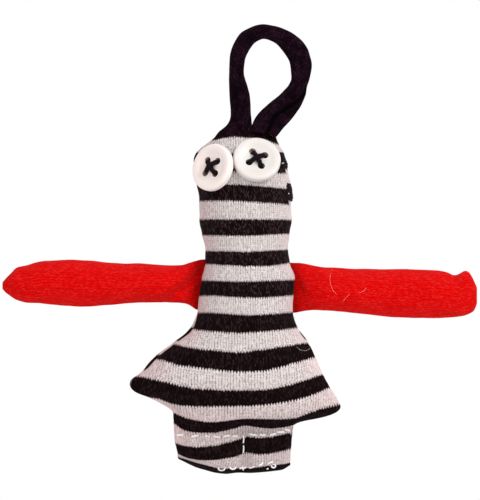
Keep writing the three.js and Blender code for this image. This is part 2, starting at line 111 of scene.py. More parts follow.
# The front's stripe edges, from top fold to hem, as points across and down. The first stripe is black.
COURSES = (
    ((-13.8, 32.7), (-4.6, 32.3), (3.0, 33.4)),
    ((-19.8, 38.4), (-14.9, 37.6), (-12, 37.2), (-5.9, 37.6), (0.5, 38.2), (5.4, 39.9)),
    ((-25.5, 43.3), (-9.1, 43.7), (7.4, 43.5)),
    ((-26.4, 50.5), (-9.1, 50.5), (9.1, 50.9)),
    ((-25.5, 55.1), (-8, 55.3), (-2.1, 55.8), (10.1, 56.6)),
    ((-24.5, 61.3), (-12.6, 61.4), (-5.3, 61.8), (1.9, 62.3), (10.1, 62.8)),
    ((-24.5, 68.1), (-7.1, 68.2), (10.4, 68.4)),
    ((-23.5, 74.3), (-7.1, 74.6), (9.7, 73.8)),
    ((-22.2, 80.1), (-7.1, 80.5), (9.1, 79.6)),
    ((-22.3, 85.2), (-7.1, 86), (2.7, 85.9), (9.7, 84.7)),
    ((-23.6, 91.2), (-7.1, 91.6), (11.9, 91)),
    ((-24.6, 97.3), (-20.2, 97), (-7.1, 97.7), (-2.3, 97.8), (11.4, 97)),
    ((-25.1, 103.4), (-20.2, 103.1), (-5.5, 104.2), (10.9, 103.2)),
    ((-27.8, 109.7), (-12.8, 110.8), (-7.5, 111), (12.5, 109.3)),
    ((-34.4, 115.3), (-28.9, 116.3), (-10.3, 118.2), (16.5, 114.8)),
    ((-41.6, 120.8), (-31.5, 123.3), (-10.3, 125.6), (0.5, 125.2), (19.2, 120.4)),
    ((-47.8, 127.6), (-39.5, 128.9), (-26.2, 131.9), (-10.3, 132.6), (0.4, 132.4), (11.2, 130.2),
     (22.1, 126.9)),
    ((-44.3, 135.6), (-39.5, 136.4), (-34.2, 138.5), (-26.2, 138.9), (-10.3, 138.7), (0.5, 138.2),
     (11.2, 136.6), (19.2, 134.3), (24.8, 132.1)),
    ((-34.4, 141.7), (-28.9, 143.6), (-20.8, 144.9), (-15.6, 144.5), (-7.5, 143.6), (0.5, 143.6),
     (5.8, 143.8), (12.2, 143.6), (13.8, 142.5), (21.3, 139.8), (28.2, 138.2)),
    ((-34.2, 145.7), (-30.4, 148.4), (-25.1, 149.3), (-18.2, 149.2), (-11.2, 147.6), (-7.5, 146.2),
     (-3.2, 147), (3.2, 147.6), (10.1, 146.8), (11.2, 146.5)),
    ((-33.6, 153.1), (-30.4, 154), (-26.1, 154.4), (-18.2, 153.7), (-12.8, 152.4), (-8.3, 151.3),
     (-7, 150.5), (-2.2, 151.1), (3.2, 150.8), (10.6, 149.2)),
    ((-32.3, 158.2), (-28.9, 159.3), (-24.5, 159.7), (-18.2, 159.3), (-10.1, 158), (-7, 156.4),
     (-2.2, 157.2), (3.2, 156.9), (10.1, 155.3)),
    ((-32.7, 158.8), (-18.7, 162.2), (-15.5, 162.8), (-10.1, 162.5), (-4.8, 162.5), (0.5, 161.7),
     (5.8, 161.2), (9.8, 160.9)),
    ((-32.1, 159.8), (-26.1, 162.8), (-18.7, 164.9), (-14.4, 165.4), (-10.1, 164.8), (-4.8, 165),
     (0.5, 164.6), (7.4, 163.8), (9.8, 162)),
)

# Outline of the body and foot block on each side: stripe edge number, place across, drop.
LEFT_EDGE = (
    (0, -13.8, 32.7), (1, -19.8, 38.4), (2, -25.5, 43.3), (2.35, -26.5, 45.8), (3, -26.5, 50.5),
    (4, -25.5, 55.1), (5, -24.5, 61.3), (6, -24.5, 68.1), (7, -23.5, 74.3), (8, -22.2, 80.1),
    (9, -22.3, 85.2), (10, -23.6, 91.2), (11, -24.6, 97.3), (12, -25.1, 103.4), (13, -27.8, 109.7),
    (14, -34.4, 115.3), (15, -41.6, 120.8), (16, -47.8, 127.6), (16.25, -50.1, 129.0), (16.5, -51.0, 131.3),
    (16.75, -49.3, 134.0), (17, -44.5, 135.9), (17.5, -39.1, 138.5), (18, -34.4, 141.7), (19, -34.2, 145.7),
    (20, -33.6, 153.1), (21, -32.6, 157.5), (22, -32.6, 158.7), (23, -32.1, 159.8),
)
RIGHT_EDGE = (
    (0, 3.0, 33.4), (0.5, 4.0, 36.1), (1, 5.4, 39.9), (2, 7.4, 43.5), (3, 9.1, 50.9), (4, 10.1, 56.6),
    (5, 10.1, 62.8), (6, 10.4, 68.4), (7, 9.7, 73.8), (8, 9.1, 79.6), (9, 9.7, 84.7), (10, 11.9, 91.0),
    (11, 11.4, 97.0), (12, 10.9, 103.2), (13, 12.5, 109.3), (14, 16.5, 114.8), (15, 19.2, 120.4),
    (16, 22.1, 126.9), (17, 24.8, 132.1), (18, 28.4, 138.0), (18.2, 29.1, 139.7), (18.4, 28.1, 141.7),
    (18.6, 22.6, 143.9), (18.8, 14.6, 145.1), (19, 11.3, 146.5), (20, 10.7, 149.2), (21, 10.2, 155.3),
    (22, 9.8, 160.9), (23, 9.8, 162.0),
)

# The outline's highest point, and its points along the hem on each side.
TOP_MIDDLE = (-4.6, 32.3)
HEM_LEFT = ((-26.1, 162.8), (-18.7, 164.9), (-14.4, 165.4))
HEM_RIGHT = ((7.4, 163.8), (0.5, 164.7), (-4.8, 165.1), (-12.0, 165.4))

# How far the stuffed form bulges to the front and to the back at a drop.
BULGES = (
    (32.3, 0.5, 0.5), (33.1, 0.9, 0.9), (34.9, 2.1, 1.9), (36.9, 3.9, 3.6), (39.3, 6.1, 5.6),
    (42.5, 8.7, 7.8), (46.9, 11.2, 9.8), (53.7, 12.8, 11), (61.3, 12.8, 11), (68.9, 12.2, 10.7),
    (77.5, 11.5, 10.3), (84.5, 11.8, 10.5), (93.7, 12.3, 11), (103.1, 12.6, 11.4), (109.3, 12.6, 11.6),
    (116.7, 12.2, 11.4), (124.1, 11.6, 10.8), (129.7, 10.8, 9.8), (133.3, 9.9, 9), (136.5, 8.9, 8),
    (139.5, 7.8, 7), (142.1, 6.7, 6), (144.5, 5.5, 5), (146.7, 3.9, 3.5), (148.5, 2, 1.8),
    (149.7, 1.0, 1.0), (150.15, 0.85, 0.85), (150.6, 1.0, 1.0), (151.65, 2, 1.9), (153.35, 4.3, 3.9),
    (155.55, 6.3, 5.7), (158.15, 7.2, 6.6), (160.45, 6.9, 6.3), (162.45, 5.9, 5.3), (164.05, 4.2, 3.7),
    (164.95, 2, 1.8), (165.4, 0.6, 0.6),
)

# How far the side seam lies in from the outline, by stripe edge number. Below 0 it lies behind it.
LEFT_SEAM_INSET = (
    (0, -0.3), (1.2, -0.3), (2.3, 0.8), (3.4, -0.35), (11.4, -0.35), (12.4, 0.2), (13.3, 1.2), (14.0, 0.8),
    (14.7, 0.8), (15.3, 1.3), (16.0, 0.2), (16.6, -0.3), (23, -0.3),
)
RIGHT_SEAM_INSET = (
    (0, -0.3), (1.2, -0.1), (2.3, 1.2), (3.2, 0.6), (3.8, 0.6), (4.4, 1.1), (5.8, -0.35), (12.8, -0.35),
    (13.75, 0.45), (14.7, -0.3), (23, -0.3),
)

# Width of a wale by stripe edge number: the cloth is stretched more over the skirt.
WALE_WIDTHS = ((0, 0.92), (11, 0.92), (14, 1.08), (17, 1.15), (20, 1.05), (23, 1.0))

# The hip's running stitches, from left to right: place across and drop.
HIP_STITCHES = (
    (-31.9, 150.5), (-26.2, 150.9), (-21.5, 150.9), (-17.9, 151.2), (-14.1, 150.9), (-11.0, 150.9),
    (-4.2, 150.3), (-0.5, 150.5), (3.4, 150.3), (6.3, 149.4), (8.9, 148.6),
)

# The hem's whip stitches, each as points across and down.
HEM_STITCHES = (
    ((-17.5, 162.4), (-17.0, 163.2), (-16.2, 163.5), (-15.1, 163.2), (-14.7, 162.4)),
    ((-12.9, 162.1), (-12.5, 162.8), (-11.8, 163.0), (-11.0, 162.7), (-10.6, 162.2)),
    ((-8.0, 161.6), (-8.1, 162.4), (-7.9, 163.3), (-7.8, 163.9)),
    ((-9.4, 163.0), (-8.6, 162.8), (-7.6, 162.8), (-6.7, 162.4)),
    ((-5.8, 162.4), (-5.1, 162.6), (-4.3, 162.3), (-3.7, 161.9)),
    ((-2.0, 161.8), (-1.5, 161.5), (-0.9, 161.1), (-0.4, 160.5)),
    ((1.2, 161.5), (1.7, 160.9), (2.4, 160.6), (3.5, 160.3)),
    ((2.7, 161.7), (3.1, 162.4), (3.8, 162.5), (4.3, 161.9), (3.9, 161.2)),
)

# Top and bottom drop of the stitches between the foot lobes.
MIDDLE_STITCHES = ((150.7, 153.6), (154.2, 157.2))

# The dark stitches round the head's right seam: drop, reach outwards, reach inwards.
SEAM_STITCHES = (
    (43.9, 0.0, 1.3), (44.8, 0.2, 1.5), (45.7, 0.35, 1.6), (46.6, 0.5, 1.6), (47.5, 0.65, 1.6),
    (48.4, 0.5, 1.5), (55.6, 0.35, 0.6), (56.5, 0.6, 0.9), (57.4, 0.75, 1.3), (58.3, 0.8, 1.5),
    (59.2, 0.95, 1.5), (60.1, 1.05, 1.5), (61.0, 0.85, 1.4),
)

# Thread ends at the seams: place across, drop, and 1 or -1 for the side they lean to.
THREAD_ENDS = ((3.0, 36.9, 1), (7.5, 47.4, 1), (9.2, 59.2, -1), (-20.6, 150.2, 1), (1.6, 163.0, -1))

# Stray hairs on the skirt and the right sleeve, as points across and down.
SKIRT_HAIR = ((12.3, 116.7), (13.6, 118.0), (15.4, 118.4), (16.8, 117.9), (17.4, 117.4))
SLEEVE_HAIRS = (
    ((25.8, 87.6), (24.9, 91.5), (25.8, 95.0), (27.5, 97.0)),
    ((29.9, 99.4), (31.0, 98.2), (32.3, 96.7)),
    ((35.7, 96.4), (37.4, 95.9), (38.6, 94.3)),
)

# The loop from its left root to its right one: inner place and height, outer ones, half thickness.
LOOP_ROWS = (
    (-3.6, -4.0, -16.2, -4.2, 0.9), (-3.9, -2.4, -17.2, -2.5, 1.3), (-4.3, -0.6, -15.1, -0.6, 1.7),
    (-4.6, 0.8, -13.8, 0.9, 1.9), (-4.75, 2.4, -13.0, 2.5, 2.0), (-4.85, 4.3, -12.7, 4.3, 2.1),
    (-5.2, 10.6, -13.1, 10.6, 2.1), (-6.3, 15.3, -13.3, 15.3, 2.2), (-7.6, 20.1, -13.3, 20.3, 2.3),
    (-7.2, 25.0, -13.1, 26.1, 2.3), (-5.5, 28.8, -11.6, 31.3, 2.3), (-3.1, 31.8, -7.4, 36.4, 2.3),
    (0, 33.1, -0.7, 38.7, 2.3), (4.0, 31.7, 6.5, 37.4, 2.3), (7.4, 28.2, 13.3, 33.6, 2.4),
    (9.7, 24.2, 17.1, 28.2, 2.4), (10.2, 20.7, 18.3, 22.9, 2.4), (10.3, 17.8, 17.2, 17.5, 2.4),
    (9.3, 15.4, 16.2, 14.6, 2.4), (7.9, 13.8, 16.1, 12.6, 2.4), (5.6, 11.6, 15.2, 9.8, 2.3),
    (2.1, 8.8, 13.1, 6.1, 2.3), (-0.8, 6.3, 10.7, 2.9, 2.2), (-2.7, 4.2, 9.1, 1.1, 2.2),
    (-4.3, 0.9, 6.5, -1.9, 2.2), (-5.0, -2.2, 4.7, -4.3, 1.0),
)

# Drop of the head's top, from which the loop's heights are counted.
HEAD_TOP_DROP = 33.1

# The right strand's lengthwise fold: share of the loop's length, and place across from -1 to 1.
FOLD_PATH = ((0.74, 1.0), (0.775, 0.85), (0.825, 0.6), (0.87, 0.25), (0.91, 0.0), (0.97, 0.2))

# The sleeves: distance out from the pinch, reach above it, reach below it, half thickness.
LEFT_SLEEVE_ROWS = (
    (-11.8, 9.3, 9.2, 0.4), (-9.0, 9.4, 9.4, 0.6), (-7.2, 9.1, 8.5, 1.3), (-4.6, 8.2, 7.3, 2.6),
    (-1.5, 7.2, 6.8, 4.1), (1.2, 7.2, 6.6, 5.3), (3.5, 7.4, 6.5, 6.0), (12, 7.9, 6.6, 6.8),
    (25.5, 8.5, 7.5, 7.0), (36, 9.1, 8.0, 7.0), (42, 9.2, 7.7, 7.0), (49.5, 8.8, 7.1, 6.9),
    (54, 7.9, 6.8, 6.6), (56.5, 7.2, 6.6, 6.3), (60.3, 6.4, 5.6, 5.4), (62.9, 4.0, 4.3, 4.2),
    (65, 1.8, 2.7, 2.4), (66, 0.5, 1.3, 1.0),
)
RIGHT_SLEEVE_ROWS = (
    (-11.8, 9.2, 9.2, 0.4), (-9.0, 9.4, 9.4, 0.6), (-7.2, 9.4, 9.1, 1.3), (-4.6, 9.1, 8.7, 2.6),
    (-1.5, 8.4, 8.5, 4.1), (1.2, 8.0, 8.6, 5.3), (3.5, 7.8, 8.7, 6.1), (8.3, 7.5, 9.0, 6.6),
    (18, 7.15, 9.9, 7.0), (30, 7.2, 10.9, 7.0), (37.4, 7.0, 11.1, 7.0), (45, 6.6, 11.3, 6.9),
    (49, 5.8, 11.2, 6.5), (52, 4.6, 11.0, 6.0), (54, 5.2, 10.8, 5.5), (56.3, 6.2, 10.3, 4.7),
    (57.9, 5.4, 9.6, 3.9), (59.4, 2.6, 8.6, 2.8), (60.6, -0.4, 5.6, 1.4),
)

# Creases of the sleeves: start, end, depth and width. Below a depth of 0 the cloth stands out.
LEFT_CREASES = (
    ((-23.6, -88.4), (-37.8, -100.2), 2.5, 1.5), ((-25.8, -98.8), (-30.5, -101.0), 0.7, 0.9),
    ((-28.2, -87.6), (-40.0, -96.6), -0.8, 2.2), ((-93.4, -88.0), (-90.2, -91.8), 0.8, 1.3),
)
RIGHT_CREASES = (
    ((12.2, -90.3), (15.4, -98.0), 0.9, 1.1), ((15.7, -97.4), (16.7, -103.4), 1.4, 0.9),
    ((71.8, -89.0), (73.6, -93.6), 0.9, 1.0),
)


def smooth_between(knots: Sequence[float], values: Array, places: Array) -> Array:
    """Monotone cubic values at places between knots.

    Args:
        knots: Increasing places where the values are known.
        values: One value a knot, or one array a knot in the shape of places.
        places: Where the values are wanted. Those beyond the ends get the end's value.

    Returns:
        The values in the shape of places.
    """
    knots = np.asarray(knots, float)
    values = np.asarray(values, float)
    places = np.clip(np.asarray(places, float), knots[0], knots[-1])
    steps = np.diff(knots).reshape(-1, *[1] * (values.ndim - 1))
    slopes = np.diff(values, axis=0) / steps
    rates = np.zeros_like(values)
    rates[0] = slopes[0]
    rates[-1] = slopes[-1]
    if len(knots) > 2:
        weight_before = 2 * steps[1:] + steps[:-1]
        weight_after = steps[1:] + 2 * steps[:-1]
        same_way = slopes[:-1] * slopes[1:] > 0
        with np.errstate(divide="ignore", invalid="ignore"):
            mean = (weight_before + weight_after) / (weight_before / slopes[:-1] + weight_after / slopes[1:])
        rates[1:-1] = np.where(same_way, mean, 0.0)
    index = np.clip(np.searchsorted(knots, places, side="right") - 1, 0, len(knots) - 2)

    def picked(table: Array, at: Array) -> Array:
        """Entries of a table at each place."""
        return table[at] if table.ndim == 1 else np.take_along_axis(table, at[None], 0)[0]

    span = knots[index + 1] - knots[index]
    share = (places - knots[index]) / span
    low, high = picked(values, index), picked(values, index + 1)
    rate_low, rate_high = picked(rates, index), picked(rates, index + 1)
    square, cube = share**2, share**3
    return (
        (2 * cube - 3 * square + 1) * low
        + (cube - 2 * square + share) * span * rate_low
        + (3 * square - 2 * cube) * high
        + (cube - square) * span * rate_high
    )


def column(rows: Sequence[Sequence[float]], number: int) -> Array:
    """One column of a table of rows."""
    return np.array([row[number] for row in rows], float)


def seam_sharpness(flatness: Array) -> Array:
    """How sharply a stuffed ring comes to its seam: more so the flatter it is."""
    return np.clip(1 + 0.3 * (flatness - 1.5), 1, 1.6)


def deselect() -> None:
    """Deselects every object."""
    bpy.ops.object.select_all(action="DESELECT")


def activate(obj: Object) -> None:
    """Makes one object the only selected and active one."""
    deselect()
    obj.select_set(True)
    bpy.context.view_layer.objects.active = obj


def set_all(item: object, **settings: object) -> None:
    """Sets several properties of a Blender item."""
    for name, value in settings.items():
        setattr(item, name, value)


def new_object(name: str, data: ID | None) -> Object:
    """Adds an object with its data to the scene."""
    obj = bpy.data.objects.new(name, data)
    bpy.context.scene.collection.objects.link(obj)
    return obj


def apply_modifier(obj: Object, kind: str, **settings: object) -> None:
    """Adds a modifier to an object, sets it up and applies it.

    Args:
        obj: The object to change.
        kind: The modifier's type.
        **settings: Its properties by name.
    """
    modifier = obj.modifiers.new(kind.lower(), kind)
    set_all(modifier, **settings)
    activate(obj)
    bpy.ops.object.modifier_apply(modifier=modifier.name)


def shade_smooth(obj: Object) -> None:
    """Smooths the shading of all of an object's faces."""
    obj.data.polygons.foreach_set("use_smooth", np.ones(len(obj.data.polygons), bool))
    obj.data.update()


def positions(obj: Object) -> Array:
    """An object's vertices, one row each."""
    flat = np.empty(len(obj.data.vertices) * 3, np.float32)
    obj.data.vertices.foreach_get("co", flat)
    return flat.reshape(-1, 3).astype(float)


def set_positions(obj: Object, points: Array) -> None:
    """Moves an object's vertices to new places."""
    obj.data.vertices.foreach_set("co", points.astype(np.float32).ravel())
    obj.data.update()


def vertex_normals(obj: Object) -> Array:
    """An object's vertex normals, one row each."""
    return np.array([vertex.normal for vertex in obj.data.vertices], float).reshape(-1, 3)


def draw_in(obj: Object, depths: Array) -> None:
    """Moves an object's vertices inwards by a depth for each, in millimetres."""
    set_positions(obj, positions(obj) - vertex_normals(obj) * (depths * MM)[:, None])


def wobble(points: Array, spacing: float, seed: float) -> Array:
    """Smooth noise from about -1 to 1 at points, the same on each run.

    Args:
        points: Places in metres.
        spacing: About how far apart the noise's humps are, in metres.
        seed: Shifts the noise, so that two pieces differ.

    Returns:
        One value a point.
    """
    shift = Vector((seed, 0.37 * seed, -0.61 * seed))
    values = [noise.noise(Vector(point) / spacing + shift) for point in points.reshape(-1, 3)]
    return np.array(values).reshape(points.shape[:-1])


def path_lengths(points: Array) -> Array:
    """Distance along each path to each of its points."""
    steps = np.linalg.norm(np.diff(points, axis=-2), axis=-1)
    return np.concatenate([np.zeros((*steps.shape[:-1], 1)), np.cumsum(steps, axis=-1)], axis=-1)


def unit(vectors: Array) -> Array:
    """Vectors brought to a length of 1."""
    return vectors / np.maximum(np.linalg.norm(vectors, axis=-1, keepdims=True), 1e-12)


def table_at(rows: Sequence[Sequence[float]], places: Array, number: int = 1) -> Array:
    """A table's column at places between those of its first column."""
    return smooth_between(column(rows, 0), column(rows, number), places)


def hump(values: Array, middle: float, width: float) -> Array:
    """A smooth hump of height 1 round a middle."""
    return np.exp(-(((values - middle) / width) ** 2))


def ramp(values: Array, start: float, length: float) -> Array:
    """Rises from 0 at a start to 1 at a length away from it."""
    return np.clip((values - start) / length, 0, 1)


def grid_uvs(around: Array, along: Array) -> Array:
    """UVs of rings of points, from their places round and along the form."""
    return np.stack(np.broadcast_arrays(around, along), axis=-1)


def keep_values(obj: Object, name: str, values: Array) -> None:
    """Keeps a value for each vertex in the mesh, for its material to read."""
    layer = obj.data.attributes.new(name, "FLOAT", "POINT")
    layer.data.foreach_set("value", values.astype(np.float32).ravel())


@dataclass
class Draft:
    """A mesh that is being put together, with a knit UV for each face corner."""

    points: list[Array] = field(default_factory=list)
    faces: list[tuple[int, ...]] = field(default_factory=list)
    corners: list[tuple[float, float]] = field(default_factory=list)
    slots: list[int] = field(default_factory=list)

    @property
    def count(self) -> int:
        """How many points there are."""
        return sum(len(block) for block in self.points)

    def add_points(self, block: Array) -> int:
        """Adds points and returns the number of the first."""
        first = self.count
        self.points.append(np.asarray(block, float).reshape(-1, 3))
        return first

    def add_face(self, face: Sequence[int], corners: Points, slot: int = 0) -> None:
        """Adds a face with the UV of each corner and its material slot."""
        self.faces.append(tuple(face))
        self.corners.extend(corners)
        self.slots.append(slot)

    def join_rings(self, start: int, panels: Sequence[tuple[Array, int]]) -> None:
        """Joins closed rings of points with faces.

        Args:
            start: Number of the first ring's first point.
            panels: For each panel round the rings, the UVs of its points on every ring, up to
                the point where the next panel starts, and its material slot.
        """
        columns = sum(uvs.shape[1] - 1 for uvs, _ in panels)
        for row in range(len(panels[0][0]) - 1):
            low, side = start + row * columns, 0
            for uvs, slot in panels:
                near, far = uvs[row].tolist(), uvs[row + 1].tolist()
                for place in range(len(near) - 1):
                    after = (side + 1) % columns
                    face = (low + side, low + after, low + columns + after, low + columns + side)
                    self.add_face(face, (near[place], near[place + 1], far[place + 1], far[place]), slot)
                    side += 1

    def sew_ends(self, columns: int, uvs: Array) -> None:
        """Closes the first and the last ring by sewing its front to its back.

        Args:
            columns: How many points a ring has.
            uvs: The UVs of the front's points on every ring.
        """
        half = columns // 2
        for row, turned in ((0, True), (len(uvs) - 1, False)):
            for step in range(half):
                face = [step, step + 1, columns - step - 1, columns - step]
                if step == 0:
                    face = [0, 1, columns - 1]
                if step == half - 1:
                    face = [half - 1, half, half + 1]
                whole = [row * columns + number for number in face]
                corners = [tuple(uvs[row, step + (n in (1, 2))]) for n in range(len(face))]
                if turned:
                    whole.reverse()
                    corners.reverse()
                self.add_face(whole, corners)

    def build(self, name: str) -> Object:
        """Makes the object, with its faces outwards.

        Args:
            name: The piece's name.

        Returns:
            The new object, linked to the scene.
        """
        points = np.vstack(self.points)
        mesh = bpy.data.meshes.new(name)
        mesh.from_pydata(points.tolist(), [], self.faces)
        layer = mesh.uv_layers.new(name="knit")
        layer.data.foreach_set("uv", np.asarray(self.corners, np.float32).ravel())
        mesh.polygons.foreach_set("material_index", np.asarray(self.slots, np.int32))
        mesh.update()
        obj = new_object(name, mesh)
        if self.volume(points) < 0:
            mesh.flip_normals()
        shade_smooth(obj)
        return obj

    def volume(self, points: Array) -> float:
        """Six times the signed volume inside the faces."""
        total = 0.0
        for face in self.faces:
            first = points[face[0]]
            for before, after in zip(face[1:-1], face[2:]):
                total += float(np.dot(first, np.cross(points[before], points[after])))
        return total


@dataclass(frozen=True)
class Stuffing:
    """How the cloth simulation plumps a sewn form over its stuffing."""

    growth: float
    cap: float
    pressure: float = 4.0
    sideways: float = 0.3
    frames: int = 20
    mass: float = 0.3
    stretch: float = 15
    shear: float = 5
    bending: float = 0.5

    def plump(self, obj: Object, pinned: Array) -> None:
        """Runs the simulation on a closed mesh and keeps its result.

        Args:
            obj: The sewn form, with its place in its mesh.
            pinned: True for each vertex that a seam or stitch holds.
        """
        rest = positions(obj)
        set_positions(obj, rest * SIMULATION_SCALE)
        group = obj.vertex_groups.new(name="sewn")
        group.add([int(i) for i in np.flatnonzero(pinned)], 1.0, "REPLACE")
        modifier = obj.modifiers.new("stuffed", "CLOTH")
        set_all(
            modifier.settings, quality=6, mass=self.mass, tension_stiffness=self.stretch,
            compression_stiffness=self.stretch, shear_stiffness=self.shear, bending_stiffness=self.bending,
            use_pressure=True, uniform_pressure_force=self.pressure, shrink_min=-self.growth,
            vertex_group_mass=group.name,
        )
        modifier.settings.effector_weights.gravity = 0
        modifier.collision_settings.use_collision = False
        set_all(modifier.point_cache, frame_start=1, frame_end=self.frames)
        for frame_number in range(1, self.frames + 1):
            bpy.context.scene.frame_set(frame_number)
        activate(obj)
        bpy.ops.object.modifier_apply(modifier=modifier.name)
        bpy.context.scene.frame_set(1)
        moved = positions(obj) / SIMULATION_SCALE - rest
        reach = np.linalg.norm(moved, axis=1, keepdims=True)
        limit = self.cap * MM
        moved *= np.tanh(reach / limit) * limit / np.maximum(reach, 1e-9)
        moved[:, (0, 2)] *= self.sideways
        set_positions(obj, rest + moved)
        obj.vertex_groups.clear()
        LOG.info("%s: stuffing moved the cloth by up to %.2f mm", obj.name, reach.max() / MM)


@dataclass
class NodePen:
    """Writes the nodes of one material, or of the world."""

    name: str
    library: str = "materials"
    owner: ID = field(init=False)

    def __post_init__(self) -> None:
        """Makes an empty material or world."""
        self.owner = getattr(bpy.data, self.library).new(self.name)
        self.owner.use_nodes = True
        self.owner.node_tree.nodes.clear()

    def node(self, kind: str, **settings: object) -> Node:
        """Adds a node and sets its properties."""
        made = self.owner.node_tree.nodes.new("ShaderNode" + kind)
        set_all(made, **settings)
        return made

    def connect(self, socket: NodeSocket, value: object) -> None:
        """Links an input to another socket, or sets it to a plain value. None is left out."""
        if isinstance(value, NodeSocket):
            self.owner.node_tree.links.new(value, socket)
        elif value is not None:
            socket.default_value = value

    def feed(self, node: Node, **sockets: object) -> Node:
        """Links a node's inputs to other sockets, or sets them to plain values.

        Args:
            node: The node.
            **sockets: A socket or a value by the input's name, with _ for a space.

        Returns:
            The same node.
        """
        for name, value in sockets.items():
            self.connect(node.inputs[name.replace("_", " ")], value)
        return node

    def feed_in_order(self, node: Node, values: Sequence[object],
                      first: int = 0) -> Node:
        """Links or sets a node's inputs by their order, from the first one on."""
        for number, value in enumerate(values, first):
            self.connect(node.inputs[number], value)
        return node

    def math(self, operation: str, first: object, second: object = None,
             clamp: bool = False) -> NodeSocket:
        """The result of a math node."""
        made = self.node("Math", operation=operation, use_clamp=clamp)
        return self.feed_in_order(made, (first, second)).outputs[0]

    def plus(self, first: object, second: object, clamp: bool = False) -> NodeSocket:
        """The sum of two values."""
        return self.math("ADD", first, second, clamp)

    def minus(self, first: object, second: object, clamp: bool = False) -> NodeSocket:
        """The first value less the second."""
        return self.math("SUBTRACT", first, second, clamp)

    def times(self, first: object, second: object, clamp: bool = False) -> NodeSocket:
        """The product of two values."""
        return self.math("MULTIPLY", first, second, clamp)

    def between(self, value: object, low: float, high: float, to_low: float = 0.0, to_high: float = 1.0,
                smooth: bool = True) -> NodeSocket:
        """A value mapped from one range to another, held at its ends."""
        made = self.node("MapRange", interpolation_type="SMOOTHSTEP" if smooth else "LINEAR")
        limits = {"From_Min": low, "From_Max": high, "To_Min": to_low, "To_Max": to_high}
        return self.feed(made, Value=value, **limits).outputs["Result"]

    def blend(self, share: object, first: object, second: object, kind: str = "MIX") -> NodeSocket:
        """Two colours mixed."""
        made = self.node("Mix", data_type="RGBA", blend_type=kind, clamp_result=False)
        self.feed_in_order(made, (share,))
        return self.feed_in_order(made, (first, second), 6).outputs[2]

    def noise(self, vector: object, scale: float, detail: float = 2.0, rough: float = 0.5,
              stretch: Triple = (1, 1, 1)) -> NodeSocket:
        """Noise from 0 to 1 on a vector, stretched by a mapping."""
        mapping = self.feed(self.node("Mapping"), Scale=stretch, Vector=vector)
        made = self.feed(self.node("TexNoise"), Scale=scale, Detail=detail, Roughness=rough)
        return self.feed(made, Vector=mapping.outputs[0]).outputs[0]

    def parts(self, vector: object) -> bpy.types.bpy_prop_collection:
        """The three sockets of a vector's parts."""
        return self.feed_in_order(self.node("SeparateXYZ"), (vector,)).outputs

    def knit_uv(self) -> tuple[NodeSocket, NodeSocket, NodeSocket]:
        """The knit's UV vector, wale number and course number."""
        vector = self.node("UVMap", uv_map="knit").outputs[0]
        parts = self.parts(vector)
        return vector, parts[0], parts[1]

    def place(self) -> NodeSocket:
        """Object coordinates."""
        return self.node("TexCoord").outputs["Object"]

    def attribute(self, name: str) -> NodeSocket:
        """A value that the mesh keeps for each point."""
        return self.node("Attribute", attribute_name=name).outputs["Fac"]

    def grey(self, value: object) -> NodeSocket:
        """A grey of a value, to multiply a colour by."""
        return self.feed_in_order(self.node("CombineColor"), (value, value, value)).outputs[0]

    def bump(self, height: object, strength: float, depth: float) -> NodeSocket:
        """A normal that follows a height."""
        return self.feed(self.node("Bump"), Strength=strength, Distance=depth, Height=height).outputs[0]

    def seen_by(self, *views: View) -> NodeSocket:
        """Is 1 for the named kinds of ray and 0 for others."""
        rays = self.node("LightPath")
        seen: object = 0.0
        for view in views:
            seen = self.plus(seen, rays.outputs[view.value], clamp=True)
        return seen

    def finish(self, kind: str, shader: Node) -> ID:
        """Ends the nodes in an output, and returns the finished material or world."""
        self.feed(self.node(kind), Surface=shader.outputs[0])
        return self.owner

    def surface(self, colour: object, roughness: object, normal: object, **sockets: object) -> ID:
        """Ends the material in a principled shader.

        Args:
            colour: Base colour.
            roughness: Roughness.
            normal: Normal.
            **sockets: Plain values by socket name, with _ for a space.

        Returns:
            The finished material.
        """
        shader = self.node("BsdfPrincipled")
        self.feed(shader, Base_Color=colour, Roughness=roughness, Normal=normal, **sockets)
        return self.finish("OutputMaterial", shader)


def rgba(red: float, green: float, blue: float) -> tuple[float, float, float, float]:
    """A linear colour with full alpha."""
    return (red, green, blue, 1.0)


@dataclass(frozen=True)
class Yarn:
    """One colour of yarn, with the lighter and darker tints that its stitches vary between."""

    base: Triple
    tint: Triple
    # The lighter colour of stray fibres, which is also painted on stitch crowns as highlights, and its
    # share.
    lint: Triple
    lint_share: float
    # How much of the yarn's colour the painted shade in the gaps between its stitches leaves.
    gap: float


BLACK_YARN = Yarn((0.0048, 0.0014, 0.0020), (0.0090, 0.0028, 0.0038), (0.128, 0.076, 0.080), 0.60, 0.20)
PALE_YARN = Yarn((0.96, 0.868, 0.852), (0.80, 0.69, 0.675), (1.0, 0.97, 0.955), 0.70, 0.03)
LOOP_YARN = Yarn((0.0062, 0.0012, 0.0040), (0.0100, 0.0022, 0.0066), (0.060, 0.028, 0.046), 0.40, 0.30)
RED_YARN = Yarn((1.00, 0.0014, 0.0014), (0.88, 0.0010, 0.0010), (1.00, 0.085, 0.076), 0.32, 0.40)


